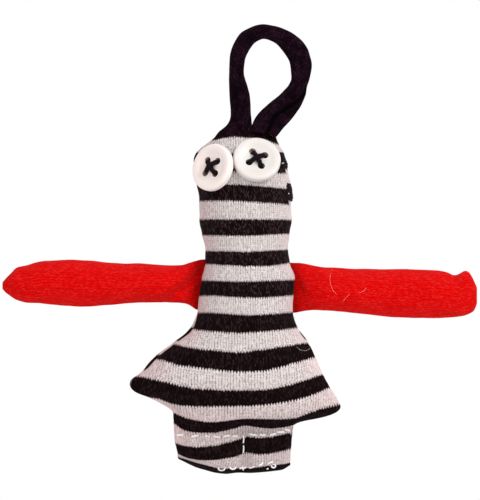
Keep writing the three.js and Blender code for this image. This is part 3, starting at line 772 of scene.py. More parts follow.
@dataclass(frozen=True)
class KnitFinish:
    """Single jersey: wales of slanted stitches, in one yarn or in stripes of two."""

    name: str
    yarn: Yarn
    stripe: Yarn | None
    sheen: float
    shade: Callable[[NodePen, object], object]
    sheen_tint: Triple = (1.0, 1.0, 1.0)
    relief: float = 0.22
    slant: float = 1.6
    coarse: float = 1.0
    pits: float = 0.38
    lines: float = 0.6

    @staticmethod
    def yarn_colour(pen: NodePen, yarn: Yarn, mottle: object, specks_and_highlights: object) -> object:
        """A yarn's colour with its mottling, its stray lighter fibres and the painted highlights on its
        stitch crowns.

        Args:
            pen: Writes the nodes.
            yarn: The yarn.
            mottle: Slow noise between its two tints.
            specks_and_highlights: How strongly the lighter fibre colour shows, as random flecks and as
                painted highlights on the stitch crowns, from 0 to 1.

        Returns:
            The colour socket.
        """
        body = pen.blend(mottle, rgba(*yarn.base), rgba(*yarn.tint))
        return pen.blend(pen.times(specks_and_highlights, yarn.lint_share), body, rgba(*yarn.lint))

    def build(self) -> Material:
        """Writes the material.

        Returns:
            The finished material.
        """
        pen = NodePen(self.name)
        vector, wale, course = pen.knit_uv()
        if self.coarse != 1.0:
            wale = pen.math("DIVIDE", wale, self.coarse)
            course = pen.math("DIVIDE", course, self.coarse)
        sway = pen.minus(pen.noise(vector, 0.28, 2.0, stretch=(0.7, 1.0, 1.0)), 0.5)
        lag = pen.minus(pen.noise(vector, 0.9, 2.0, stretch=(1.0, 0.3, 1.0)), 0.5)
        wale = pen.plus(wale, pen.times(sway, 0.9))
        course = pen.plus(course, pen.times(lag, 1.3))
        from_middle = pen.math("ABSOLUTE", pen.minus(pen.math("FRACT", wale), 0.5))
        across = pen.times(from_middle, 2.0)
        slanted = pen.minus(course, pen.times(across, self.slant))
        leg = pen.minus(pen.times(across, 2.0), 1.0)
        leg_round = pen.math("SQRT", pen.minus(1.0, pen.times(leg, leg), clamp=True))
        along = pen.minus(pen.times(pen.math("FRACT", slanted), 2.0), 1.0)
        stitch_round = pen.minus(1.0, pen.times(pen.times(along, along), 0.6))
        height = pen.times(leg_round, stitch_round)
        mottle = pen.noise(vector, 0.35, 2.0, stretch=(1.0, 0.5, 1.0))
        half_wale, row = pen.math("FLOOR", pen.times(wale, 2.0)), pen.math("FLOOR", slanted)
        stitch = pen.feed(pen.node("CombineXYZ"), X=half_wale, Y=row)
        chance = pen.feed(pen.node("TexWhiteNoise", noise_dimensions="2D"), Vector=stitch.outputs[0])
        luck = chance.outputs["Value"]
        crown = pen.between(height, 0.25, 0.95)
        fleck = pen.between(pen.noise(vector, 1.9, 3.0, 0.7), 0.56, 0.74)
        # Painted highlight: the crowns of some stitches get the lighter fibre colour.
        painted_crown_highlight = pen.times(crown, pen.between(luck, 0.55, 1.0))
        specks_and_highlights = pen.math("MAXIMUM", painted_crown_highlight, fleck)
        if self.stripe is None:
            yarn_colour = self.yarn_colour(pen, self.yarn, mottle, specks_and_highlights)
            gap_shade_level: object = self.yarn.gap
        else:
            chest, skirt = 9.0 * STRIPE_COURSES, 14.0 * STRIPE_COURSES
            specks_and_highlights = pen.times(specks_and_highlights, pen.between(course, chest, skirt, 1.0, 0.45))
            number = pen.math("FLOOR", pen.math("DIVIDE", slanted, float(STRIPE_COURSES)))
            pale = pen.math("ABSOLUTE", pen.math("MODULO", number, 2.0))
            first = self.yarn_colour(pen, self.yarn, mottle, specks_and_highlights)
            second = self.yarn_colour(pen, self.stripe, mottle, specks_and_highlights)
            yarn_colour = pen.blend(pale, first, second)
            gap_shade_level = pen.between(pale, 0.0, 1.0, self.yarn.gap, self.stripe.gap, smooth=False)
        # Painted shade: the valleys, holes and pits between the stitches are darkened.
        valley = pen.between(pen.minus(1.0, height), 0.30, 0.95)
        stitch_ends = pen.between(pen.math("ABSOLUTE", along), 0.30, 0.85, 0.10, 1.0)
        hole = pen.times(pen.between(across, 0.35, 0.85), stitch_ends)
        dark = pen.math("MAXIMUM", pen.times(valley, self.lines), hole)
        dark = pen.times(dark, pen.between(luck, 0.0, 1.0, 1.25, 0.30, smooth=False), clamp=True)
        unshaded_share = pen.minus(1.0, pen.times(dark, pen.minus(1.0, gap_shade_level)))
        pitted = pen.noise(vector, 1.15, 3.0, 0.7, (1.0, 0.8, 1.0))
        unshaded_share = pen.times(unshaded_share, pen.between(pitted, 0.38, 0.52, 1.0 - self.pits, 1.0))
        # The painted shade in the gaps fades towards the body's sides.
        rim = pen.attribute("rim")
        unshaded_share = pen.math("MAXIMUM", unshaded_share, pen.between(rim, 0.7, 1.0, 0.0, 0.82))
        shaded = pen.blend(1.0, yarn_colour, pen.grey(unshaded_share), "MULTIPLY")
        fuzz = pen.noise(vector, 4.5, 3.0, 0.75, (1.0, 2.2, 1.0))
        relief = pen.plus(height, pen.times(fuzz, 0.5))
        normal = pen.bump(relief, 0.8, self.relief * MM)
        return pen.surface(
            self.shade(pen, shaded), 0.96, normal, Specular_IOR_Level=0.03, Sheen_Weight=self.sheen,
            Sheen_Roughness=0.45, Sheen_Tint=rgba(*self.sheen_tint),
        )


def redden_sides(pen: NodePen, colour: object) -> object:
    """Tints the striped knit pink at its side seams, more deeply on the left as painted shade, warms it low
    down, paints shade on the foot block, darker to the right, and deepens the black at the loop's roots.

    Args:
        pen: Writes the nodes.
        colour: The colour so far.

    Returns:
        The new colour.
    """
    _, _, course = pen.knit_uv()
    cap = pen.between(course, 0.87 * STRIPE_COURSES, 1.0 * STRIPE_COURSES, 1.0, 0.0)
    colour = pen.blend(cap, colour, rgba(0.62, 0.24, 0.50), "MULTIPLY")
    # Pink tint towards the side seams, deeper on the left: painted shade there.
    rim = pen.attribute("rim")
    patches = pen.noise(pen.place(), 70.0, 2.0)
    wide = pen.plus(rim, pen.times(pen.minus(patches, 0.5), 0.4))
    to_right = pen.between(pen.parts(pen.place())[0], -20.0 * MM, 8.0 * MM)
    tint = pen.blend(to_right, rgba(0.97, 0.865, 0.885), rgba(1.0, 0.975, 0.985))
    colour = pen.blend(pen.between(wide, 0.62, 1.0), colour, tint, "MULTIPLY")
    low_skirt = pen.between(course, 15.0 * STRIPE_COURSES, 18.0 * STRIPE_COURSES)
    colour = pen.blend(low_skirt, colour, rgba(0.96, 0.90, 0.90), "MULTIPLY")
    # Painted shade on the foot block, darker towards the right.
    foot_block = pen.between(course, 19.0 * STRIPE_COURSES, 20.0 * STRIPE_COURSES)
    patches_and_painted_shade = pen.blend(to_right, rgba(0.97, 0.98, 0.98), rgba(0.83, 0.82, 0.83))
    return pen.blend(foot_block, colour, patches_and_painted_shade, "MULTIPLY")


def darken_roots(pen: NodePen, colour: object) -> object:
    """Deepens the red towards the body, where the sleeve lies in the body's shade: this is painted shade.

    Args:
        pen: Writes the nodes.
        colour: The colour so far.

    Returns:
        The new colour.
    """
    _, _, course = pen.knit_uv()
    # Painted shade towards the body.
    share = pen.between(course, 4.0, 15.0, 0.85, 0.0)
    return pen.blend(share, colour, rgba(0.50, 0.30, 0.30), "MULTIPLY")


def deepen_folds(pen: NodePen, colour: object) -> object:
    """Paints shade along the strap's lengthwise fold, and varies the rest in soft lighter and darker
    patches.

    Args:
        pen: Writes the nodes.
        colour: The colour so far.

    Returns:
        The new colour.
    """
    fold = pen.attribute("fold")
    patches = pen.noise(pen.place(), 240.0, 3.0, 0.6)
    # Soft lighter and darker patches over the strap.
    patches_and_painted_shade = pen.between(patches, 0.32, 0.68, 0.5, 1.7)
    # Painted shade: the strap darkens along its fold.
    level = pen.times(patches_and_painted_shade, pen.between(fold, 0.1, 0.8, 1.0, 0.2))
    return pen.blend(1.0, colour, pen.grey(level), "MULTIPLY")


STRIPED_KNIT = KnitFinish(
    "striped_jersey", BLACK_YARN, PALE_YARN, 0.012, redden_sides, slant=1.2, lines=0.52,
)
BLACK_KNIT = KnitFinish("black_jersey", LOOP_YARN, None, 0.006, deepen_folds, (1.0, 0.6, 0.9))
RED_KNIT = KnitFinish(
    "red_jersey", RED_YARN, None, 0.05, darken_roots, (1.0, 0.45, 0.45), 0.30, coarse=1.3, pits=0.12,
)


@dataclass(frozen=True)
class FibreFinish:
    """Loose polyester filling."""

    name: str = "fibre_filling"
    colour: Triple = (0.86, 0.84, 0.81)

    def build(self) -> Material:
        """Writes the material.

        Returns:
            The finished material.
        """
        pen = NodePen(self.name)
        strands = pen.noise(pen.place(), 900.0, 4.0, 0.75, (1.0, 1.0, 3.5))
        clumps = pen.noise(pen.place(), 160.0, 3.0)
        colour = pen.blend(clumps, rgba(*self.colour), rgba(0.74, 0.72, 0.69))
        height = pen.plus(strands, clumps)
        normal = pen.bump(height, 0.9, 0.4 * MM)
        return pen.surface(colour, 0.97, normal, Sheen_Weight=0.2, Specular_IOR_Level=0.1)


@dataclass(frozen=True)
class ButtonFinish:
    """Polyester button stock: slightly clouded, satin, with faint turning marks."""

    name: str
    base: Triple
    cloud: Triple

    def build(self) -> Material:
        """Writes the material.

        Returns:
            The finished material.
        """
        pen = NodePen(self.name)
        clouds = pen.noise(pen.place(), 190.0, 3.0, 0.6)
        colour = pen.blend(pen.between(clouds, 0.3, 0.7), rgba(*self.base), rgba(*self.cloud))
        fine = pen.noise(pen.place(), 2600.0, 2.0)
        rough = pen.between(fine, 0.3, 0.7, 0.34, 0.46)
        return pen.surface(
            colour, rough, pen.bump(fine, 0.12, 0.03 * MM), Specular_IOR_Level=0.42,
            Subsurface_Weight=0.12, Subsurface_Scale=0.6 * MM, Coat_Weight=0.08, Coat_Roughness=0.25,
        )


@dataclass(frozen=True)
class ThreadFinish:
    """Twisted sewing thread, whose fibres lie along a slanted pattern on its UV."""

    name: str
    colour: Triple
    # The darker colour, painted as shade in the grooves of the twist.
    deep: Triple
    sheen: float = 0.15
    gloss: float = 0.3

    def build(self) -> Material:
        """Writes the material.

        Returns:
            The finished material.
        """
        pen = NodePen(self.name)
        vector, around, along = pen.knit_uv()
        slant = pen.plus(pen.times(around, 6.0), pen.times(along, 2.0))
        fibre = pen.math("ABSOLUTE", pen.minus(pen.math("FRACT", slant), 0.5))
        fray = pen.noise(vector, 3.0, 3.0, 0.7)
        height = pen.plus(pen.times(fibre, 2.0), fray)
        # Painted shade: the grooves between the twisted fibres take the darker colour.
        colour = pen.blend(pen.between(height, 0.3, 1.4), rgba(*self.deep), rgba(*self.colour))
        return pen.surface(
            colour, 0.8, pen.bump(height, 0.7, 0.08 * MM), Specular_IOR_Level=self.gloss,
            Sheen_Weight=self.sheen, Sheen_Roughness=0.4,
        )


@dataclass(frozen=True)
class HoleWallFinish:
    """Painted shade on the walls of a drilled button hole: a duller tan that stands in for the shade inside
    it.
    """

    name: str = "button_hole_wall"

    def build(self) -> Material:
        """Writes the material.

        Returns:
            The finished material.
        """
        pen = NodePen(self.name)
        wall_mottle = pen.noise(pen.place(), 1500.0, 3.0)
        # Painted shade: the hole's walls are coloured a tan brown for the shade inside the hole.
        colour = pen.blend(wall_mottle, rgba(0.62, 0.44, 0.34), rgba(0.80, 0.66, 0.56))
        return pen.surface(colour, 0.7, pen.bump(wall_mottle, 0.3, 0.05 * MM), Specular_IOR_Level=0.25)


@dataclass(frozen=True)
class FloorFinish:
    """A pale floor that keeps the doll's shadow and fades into the white surround at its rim."""

    name: str = "pale_floor"
    fade_from: float = 0.13
    fade_to: float = 0.27

    def build(self) -> Material:
        """Writes the material.

        Returns:
            The finished material.
        """
        pen = NodePen(self.name)
        flat = pen.node("VectorMath", operation="MULTIPLY")
        pen.feed_in_order(flat, (pen.place(), (1.0, 1.0, 0.0)))
        length = pen.feed_in_order(pen.node("VectorMath", operation="LENGTH"), (flat.outputs[0],))
        rim = pen.between(length.outputs["Value"], self.fade_from, self.fade_to)
        grain = pen.noise(pen.place(), 60.0, 3.0)
        colour = pen.blend(grain, rgba(0.90, 0.90, 0.90), rgba(0.93, 0.93, 0.93))
        matte = pen.feed(pen.node("BsdfDiffuse"), Color=colour)
        white = pen.feed(pen.node("Emission"), Strength=1.0)
        share = pen.times(rim, pen.seen_by(View.CAMERA, View.GLOSSY))
        shaders = (share, matte.outputs[0], white.outputs[0])
        return pen.finish("OutputMaterial", pen.feed_in_order(pen.node("MixShader"), shaders))


def dress(obj: Object, *materials: Material) -> None:
    """Gives an object its materials, in the order of its face slots, and logs it."""
    obj.data.materials.clear()
    for material in materials:
        obj.data.materials.append(material)
    LOG.info("%s: %d faces", obj.name, len(obj.data.polygons))


def stand_for(obj: Object, slot: str, *nodes: str, fill: float | None = None) -> None:
    """Hides the CAD nodes that a piece replaces.

    Args:
        obj: The piece. Not used.
        slot: Its material slot. Not used.
        *nodes: The nodes.
        fill: How full a padded piece is. None for a piece that isn't padded. Not used.
    """
    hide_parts(*nodes)


@dataclass
class RingForm:
    """A knitted or stuffed form through rings, each between two edge points of the front view."""

    first: Array
    last: Array
    front: Array
    back: Array
    columns: int

    def angles(self) -> Array:
        """Angles round a ring, from its first edge over the front to its last and back."""
        return math.pi - np.arange(self.columns) * 2 * math.pi / self.columns

    def rings(self) -> Array:
        """The points of every ring, in millimetres.

        Returns:
            Rings of points, with one row a ring.
        """
        angle = self.angles()[None, :]
        middle = (self.first + self.last) / 2
        half = (self.last - self.first) / 2
        place = middle[:, None, :] + half[:, None, :] * np.cos(angle)[..., None]
        flatness = 2 * np.linalg.norm(half, axis=1) / np.maximum(self.front + self.back, 1e-6)
        sharpness = seam_sharpness(flatness)[:, None]
        rise = np.abs(np.sin(angle)) ** sharpness
        depth = np.where(np.sin(angle) > 0, -self.front[:, None] * rise, self.back[:, None] * rise)
        return np.stack([place[..., 0], depth, place[..., 1]], axis=-1)

    def build(self, name: str, rings: Array) -> Object:
        """Makes the closed form from its rings.

        Args:
            name: The piece's name.
            rings: Points of every ring in millimetres, maybe reshaped after rings().

        Returns:
            The new object.
        """
        columns = rings.shape[1]
        around = path_lengths(np.concatenate([rings, rings[:, :1]], axis=1))
        around = (around - around[:, columns // 4][:, None]) / WALE
        uvs = grid_uvs(around, path_lengths(rings.mean(axis=1))[:, None] / COURSE)
        draft = Draft()
        draft.join_rings(draft.add_points(rings * MM), [(uvs, 0)])
        draft.sew_ends(columns, uvs)
        return draft.build(name)


def resampled(rows: Sequence[Sequence[float]], spacing: float, distance: Array) -> Array:
    """Rows at an even spacing, smooth between the given ones.

    Args:
        rows: The given rows.
        spacing: About how far apart the new rows are.
        distance: How far along each given row lies.

    Returns:
        One new row each.
    """
    count = max(2, int(round((distance[-1] - distance[0]) / spacing)) + 1)
    places = np.linspace(distance[0], distance[-1], count)
    return np.stack([smooth_between(distance, column(rows, n), places) for n in range(len(rows[0]))], axis=1)


def crease(points: Array, start: tuple[float, float], end: tuple[float, float], depth: float,
           width: float) -> Array:
    """Draws the front of a form in along a line of the front view.

    Args:
        points: Points in millimetres.
        start: Place across and height where the crease starts.
        end: The same where it ends.
        depth: How deep it is in the middle.
        width: How wide it is.

    Returns:
        How far each point moves back.
    """
    first = np.array(start)
    line = np.array(end) - first
    length = np.linalg.norm(line)
    line /= length
    offset = np.stack([points[..., 0], points[..., 2]], axis=-1) - first
    along = offset @ line
    side = offset @ np.array([-line[1], line[0]])
    share = np.clip(along / length, 0, 1)
    past = np.maximum(0, np.maximum(-along, along - length))
    taper = np.sin(math.pi * np.clip(share, 0.08, 0.92)) ** 0.6
    fall = np.exp(-((side / width) ** 2) - (past / width) ** 2)
    return np.where(points[..., 1] < 0, depth * fall * taper, 0.0)


class Outline:
    """The outline of the body and foot block, and where the front panel's courses lie on it."""

    @staticmethod
    def edge(side: Side, number: Array) -> tuple[Array, Array]:
        """Place across and drop of the outline at stripe edge numbers.

        Args:
            side: Left or right.
            number: Stripe edge numbers.

        Returns:
            Places across, and drops.
        """
        rows = LEFT_EDGE if side is Side.LEFT else RIGHT_EDGE
        return table_at(rows, number), table_at(rows, number, 2)

    @staticmethod
    def drops(number: Array, across: Array) -> Array:
        """Drop of the course lines at stripe edge numbers and places across."""
        table = np.stack([np.interp(across, column(line, 0), column(line, 1)) for line in COURSES])
        return smooth_between(np.arange(len(COURSES)), table, np.broadcast_to(number, across.shape))

    @staticmethod
    def slice_ends(drop: Array) -> tuple[Array, Array]:
        """The outline's left and right place at drops.

        Args:
            drop: Drops below the origin.

        Returns:
            Places across, left and right.
        """
        ends = []
        for edge, hem in ((LEFT_EDGE, HEM_LEFT), (RIGHT_EDGE, HEM_RIGHT)):
            line = [TOP_MIDDLE, *[(x, z) for _, x, z in edge], *hem]
            ends.append(smooth_between(column(line, 1), column(line, 0), drop))
        return ends[0], ends[1]

    @staticmethod
    def hip_line(across: Array) -> Array:
        """Drop of the hip's stitches at places across."""
        return np.interp(across, column(HIP_STITCHES, 0), column(HIP_STITCHES, 1))

    def bulge(self, across: Array, drop: Array, behind: bool) -> Array:
        """How far the form bulges at a place of the front view.

        Args:
            across: Places across.
            drop: Drops below the origin.
            behind: True for the back of the form.

        Returns:
            Depths from the seam's plane, never negative.
        """
        left, right = self.slice_ends(drop)
        half = np.maximum((right - left) / 2, 0.5)
        share = np.clip((across - (left + right) / 2) / half, -1, 1)
        level = drop + (HIP_DROP - self.hip_line(across)) * hump(drop, HIP_DROP, 5.0)
        front, back = table_at(BULGES, level), table_at(BULGES, level, 2)
        sharpness = seam_sharpness(2 * half / (front + back))
        deep = (back if behind else front) * (1 - share**2) ** (sharpness / 2)
        valley = LOBE_VALLEY * hump(across, LOBE_X, 2.3) * ramp(drop, HIP_DROP, 1.5)
        return deep * (1 - valley)


@dataclass(frozen=True)
class Gathers:
    """How the stitches gather the body's cloth. Depths and lengths are in millimetres."""

    pleat: float = 0.75
    pleat_pitch: float = 4.4
    pleat_fade: float = 3.6
    fan: float = 0.6
    fan_drop: float = 145.5
    fan_folds: float = 9.0
    hem: float = 0.25
    hem_pitch: float = 4.2
    hem_drop: float = 163.0
    soft_wave: float = 0.45
    fine_wave: float = 0.14

    def at_hip(self, across: Array, distance: Array) -> Array:
        """Pleats on both sides of the hip's stitches, by place across and distance from them."""
        turn = 2 * math.pi * (across - HIP_STITCHES[0][0]) / self.pleat_pitch + 0.5 * np.sin(across / 3.1)
        return self.pleat * np.cos(turn) * np.exp(-distance / self.pleat_fade) * ramp(distance, 0.0, 0.8)

    def over_lobes(self, across: Array, drop: Array) -> Array:
        """Folds that fan out from where the lobes meet, by place across from there and drop."""
        below = drop - self.fan_drop
        folds = np.cos(np.arctan2(across, np.maximum(below, 0.01)) * self.fan_folds)
        return self.fan * folds * hump(np.hypot(across, below), 5.0, 4.0) * (below > 0)

    def at_hem(self, across: Array, drop: Array) -> Array:
        """Dips between the hem's whip stitches, by place across and drop."""
        return self.hem * hump(drop, self.hem_drop, 1.5) * np.cos(2 * math.pi * across / self.hem_pitch)

    def waves(self, points: Array) -> Array:
        """Uneven swells of the stuffed cloth at points in metres."""
        return self.soft_wave * wobble(points, 0.011, 3.0) + self.fine_wave * wobble(points, 0.004, 7.0)


@dataclass
class BodyCloth:
    """The striped front and back cloths of the body and foot block, and their fillings."""

    outline: Outline = field(default_factory=Outline)
    gathers: Gathers = field(default_factory=Gathers)
    row_steps: int = 6
    half_columns: int = 48
    thickness: float = 0.55
    ease: float = 0.22
    seam_pitch: float = 2.6
    front: Object = field(init=False)
    back: Object = field(init=False)

    def ring_angles(self, numbers: Array, half: Array) -> Array:
        """Angles round each ring: the front cloth's columns first, then the back cloth's.

        Args:
            numbers: Stripe edge number of each ring.
            half: Half width of each ring.

        Returns:
            One row of angles a ring.
        """
        count = self.half_columns
        insets = []
        for table in (LEFT_SEAM_INSET, RIGHT_SEAM_INSET):
            inset = table_at(table, numbers)
            insets.append(np.sign(inset) * np.arccos(1 - np.minimum(np.abs(inset), 0.4 * half) / half))
        left, right = insets
        share = np.arange(count + 1) / count
        ahead = (math.pi - left)[:, None] + share[None, :] * (right - (math.pi - left))[:, None]
        share = np.arange(1, count) / count
        round_back = right[:, None] + share[None, :] * ((math.pi - left) - 2 * math.pi - right)[:, None]
        return np.concatenate([ahead, round_back], axis=1)

    def ring_points(self) -> tuple[Array, Array]:
        """Points of every ring in millimetres, and the rings' stripe edge numbers.

        Returns:
            The points, and one number a ring.
        """
        last = len(COURSES) - 1
        numbers = np.linspace(0, last, last * self.row_steps + 1)
        left_x, left_drop = self.outline.edge(Side.LEFT, numbers)
        right_x, right_drop = self.outline.edge(Side.RIGHT, numbers)
        middle, half = (left_x + right_x) / 2, (right_x - left_x) / 2 + self.ease
        angle = self.ring_angles(numbers, half)
        across = middle[:, None] + half[:, None] * np.cos(angle)
        drop = self.outline.drops(numbers[:, None], across)
        for edge_x, edge_drop in ((left_x, left_drop), (right_x, right_drop)):
            line = self.outline.drops(numbers[:, None], edge_x[:, None])
            near = np.exp(-np.abs(across - edge_x[:, None]) / 4.0)
            drop = drop + near * (edge_drop[:, None] - line)
        ahead = self.outline.bulge(across, drop, behind=False)
        behind = self.outline.bulge(across, drop, behind=True)
        depth = np.where(np.sin(angle) > 0, -ahead, behind)
        rows = np.arange(len(numbers))
        ends = (rows == 0) | (rows == rows[-1])
        sides = np.sign(np.where(np.abs(np.sin(angle)) < 1e-6, 0, np.sin(angle)))
        depth = np.where(ends[:, None], -0.5 * sides * np.abs(np.sin(angle)), depth)
        return np.stack([across, depth, -drop], axis=-1), numbers

    def shape_by_hand(self, rings: Array) -> Array:
        """Adds the gathers, puckers and seam dips that the stitches make.

        Args:
            rings: Points of every ring in millimetres.

        Returns:
            The same points, moved.
        """
        x, y, drop = rings[..., 0], rings[..., 1], -rings[..., 2]
        outward = np.sign(y) * ramp(np.abs(y), 0.0, 2.0)
        y = y + outward * self.gathers.at_hip(x, np.abs(drop - self.outline.hip_line(x)))
        y = y + outward * self.gathers.over_lobes(x - LOBE_X, drop)
        y = y - outward * self.gathers.at_hem(x, drop)
        moved = np.stack([x, y, -drop], axis=-1)
        moved[..., 1] += outward * self.gathers.waves(moved * MM)
        return moved

    def cloth_uvs(self, rings: Array, numbers: Array) -> list[Array]:
        """UVs of the front cloth's and the back cloth's points on each ring.

        Args:
            rings: Points of every ring.
            numbers: Its stripe edge numbers.

        Returns:
            The front's UVs, then the back's.
        """
        count = self.half_columns
        panels = (rings[:, : count + 1], np.concatenate([rings[:, count:], rings[:, :1]], axis=1))
        width = table_at(WALE_WIDTHS, numbers)
        uvs = []
        for panel, gain in zip(panels, (1.0, BACK_STRIPE_GAIN)):
            arc = path_lengths(panel)
            middle = []
            for places, lengths in zip(panel[..., 0], arc):
                order = np.argsort(places)
                middle.append(np.interp(BODY_MIDDLE, places[order], lengths[order]))
            wales = (arc - np.array(middle)[:, None]) / width[:, None]
            uvs.append(grid_uvs(wales, numbers[:, None] * (STRIPE_COURSES * gain)))
        return uvs

    def sewn_mesh(self) -> tuple[Object, Array]:
        """The closed, sewn form and which of its points a seam or stitch holds.

        Returns:
            The form, and True for each point that is held.
        """
        rings, numbers = self.ring_points()
        front, back = self.cloth_uvs(rings, numbers)
        rings = self.shape_by_hand(rings)
        draft = Draft()
        draft.join_rings(draft.add_points(rings * MM), [(front, 0), (back, 1)])
        draft.sew_ends(rings.shape[1], front)
        sewn = draft.build("sewn_body")
        x, drop = rings[..., 0], -rings[..., 2]
        middle = (x.max(axis=1, keepdims=True) + x.min(axis=1, keepdims=True)) / 2
        keep_values(sewn, "rim", np.abs(x - middle) / (np.ptp(x, axis=1, keepdims=True) / 2))
        pinned = np.abs(drop - self.outline.hip_line(x)) < HELD_REACH
        top, bottom = LOBE_SEAM
        pinned |= (np.abs(x - LOBE_X) < HELD_REACH) & (drop > top) & (drop < bottom)
        pinned[:, [0, self.half_columns]] = True
        pinned[[0, -1]] = True
        return sewn, pinned.ravel()

    def dip_seams(self, sewn: Object) -> None:
        """Draws the side seams in, a little unevenly, as their stitches do.

        Args:
            sewn: The sewn form.
        """
        columns = 2 * self.half_columns
        points = positions(sewn)
        normals = vertex_normals(sewn)
        place = np.arange(len(points)) % columns
        for seam in (0, self.half_columns):
            away = np.minimum(np.abs(place - seam), columns - np.abs(place - seam))
            dip = np.select([away == 0, away == 1], [0.36, 0.04], 0.0)
            ripple = 1 + 0.45 * np.cos(2 * math.pi * points[:, 2] / (self.seam_pitch * MM))
            points = points - normals * (dip * ripple * MM)[:, None]
        set_positions(sewn, points)

    def part_cloth(self, sewn: Object, name: str, slot: int) -> Object:
        """Cuts one cloth out of the sewn form and gives it its thickness.

        Args:
            sewn: The closed form.
            name: The cloth's name.
            slot: Which faces are its own.

        Returns:
            The cloth.
        """
        part = new_object(name, sewn.data.copy())
        activate(part)
        slots = np.zeros(len(part.data.polygons), np.int32)
        part.data.polygons.foreach_get("material_index", slots)
        part.data.polygons.foreach_set("select", slots != slot)
        bpy.context.tool_settings.mesh_select_mode = (False, False, True)
        bpy.ops.object.mode_set(mode="EDIT")
        bpy.ops.mesh.delete(type="FACE")
        bpy.ops.object.mode_set(mode="OBJECT")
        part.data.polygons.foreach_set("material_index", np.zeros(len(part.data.polygons), np.int32))
        group = part.vertex_groups.new(name="full")
        full_from = 1.6 * self.thickness * MM
        for number, point in enumerate(positions(part)):
            group.add([number], float(np.clip(abs(point[1]) / full_from, 0.05, 1)), "REPLACE")
        apply_modifier(part, "SOLIDIFY", thickness=self.thickness * MM, offset=-1.0, vertex_group=group.name)
        part.vertex_groups.clear()
        shade_smooth(part)
        return part

    def build(self, knit: Material) -> None:
        """Makes the two cloths, plumped over their stuffing.

        Args:
            knit: The striped knit.
        """
        sewn, pinned = self.sewn_mesh()
        Stuffing(growth=0.03, cap=1.1).plump(sewn, pinned)
        self.dip_seams(sewn)
        apply_modifier(sewn, "SUBSURF", levels=1, render_levels=1)
        self.front = self.part_cloth(sewn, "body_front_cloth", 0)
        self.back = self.part_cloth(sewn, "body_back_cloth", 1)
        bpy.data.objects.remove(sewn)
        replaced = {
            self.front: ("body_front_panel", "foot_front_panel"),
            self.back: ("body_back_panel", "foot_back_panel"),
        }
        for cloth, nodes in replaced.items():
            dress(cloth, knit)
            bend_at_hip(cloth)
            stand_for(cloth, "striped_knit", *nodes, fill=0.8)

    def build_fillings(self, fibre: Material) -> None:
        """Makes the stuffing of the head, chest, skirt and foot lobes.

        Args:
            fibre: The fibre filling.
        """
        parts = (
            ("head_filling", 36.5, 77.2, "torso", "head_stuffing", None),
            ("chest_filling", 77.8, 106.9, "torso", "chest_stuffing", None),
            ("skirt_filling", 107.5, 146.6, "torso", "skirt_stuffing", None),
            ("left_foot_filling", 153.2, 162.0, "feet", "left_foot_stuffing", Side.LEFT),
            ("right_foot_filling", 153.2, 161.4, "feet", "right_foot_stuffing", Side.RIGHT),
        )
        for name, top, bottom, body, node, lobe in parts:
            filling = self.filling(name, top, bottom, lobe)
            dress(filling, fibre)
            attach(filling, body)
            stand_for(filling, "stuffing", node, fill=0.7)

    def filling(self, name: str, top: float, bottom: float, lobe: Side | None) -> Object:
        """One lump of stuffing between two drops, inside the cloth.

        Args:
            name: The piece's name.
            top: Drop of its top.
            bottom: Drop of its bottom.
            lobe: Which foot lobe it fills, or None in the body.

        Returns:
            The lump.
        """
        drops = np.linspace(top, bottom, max(6, int((bottom - top) / 1.6)))
        left, right = self.outline.slice_ends(drops)
        left = np.full_like(left, LOBE_X + LOBE_GAP) if lobe is Side.RIGHT else left + FILLING_INSET
        right = np.full_like(right, LOBE_X - LOBE_GAP) if lobe is Side.LEFT else right - FILLING_INSET
        ease = np.sqrt(np.clip(np.minimum(drops - top, bottom - drops) / 1.2 + 0.25, 0, 1))
        share = 1.0 if lobe is None else 0.8
        depths = []
        for number in (1, 2):
            depth = share * (table_at(BULGES, drops, number) - FILLING_INSET)
            depths.append(np.maximum(depth, 0.3) * (0.85 + 0.15 * ease))
        middle = (left + right) / 2
        half = (right - left) / 2 * (0.9 + 0.1 * ease)
        first, last = np.stack([middle - half, -drops], axis=1), np.stack([middle + half, -drops], axis=1)
        form = RingForm(first, last, *depths, 48)
        lump = form.build(name, form.rings())
        points = positions(lump)
        draw_in(lump, np.abs(wobble(points, 0.0035, top) * 0.30 + wobble(points, 0.0014, bottom) * 0.12))
        return lump


def bend_at_hip(obj: Object) -> None:
    """Bakes a piece's transform into its mesh."""
    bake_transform(obj)


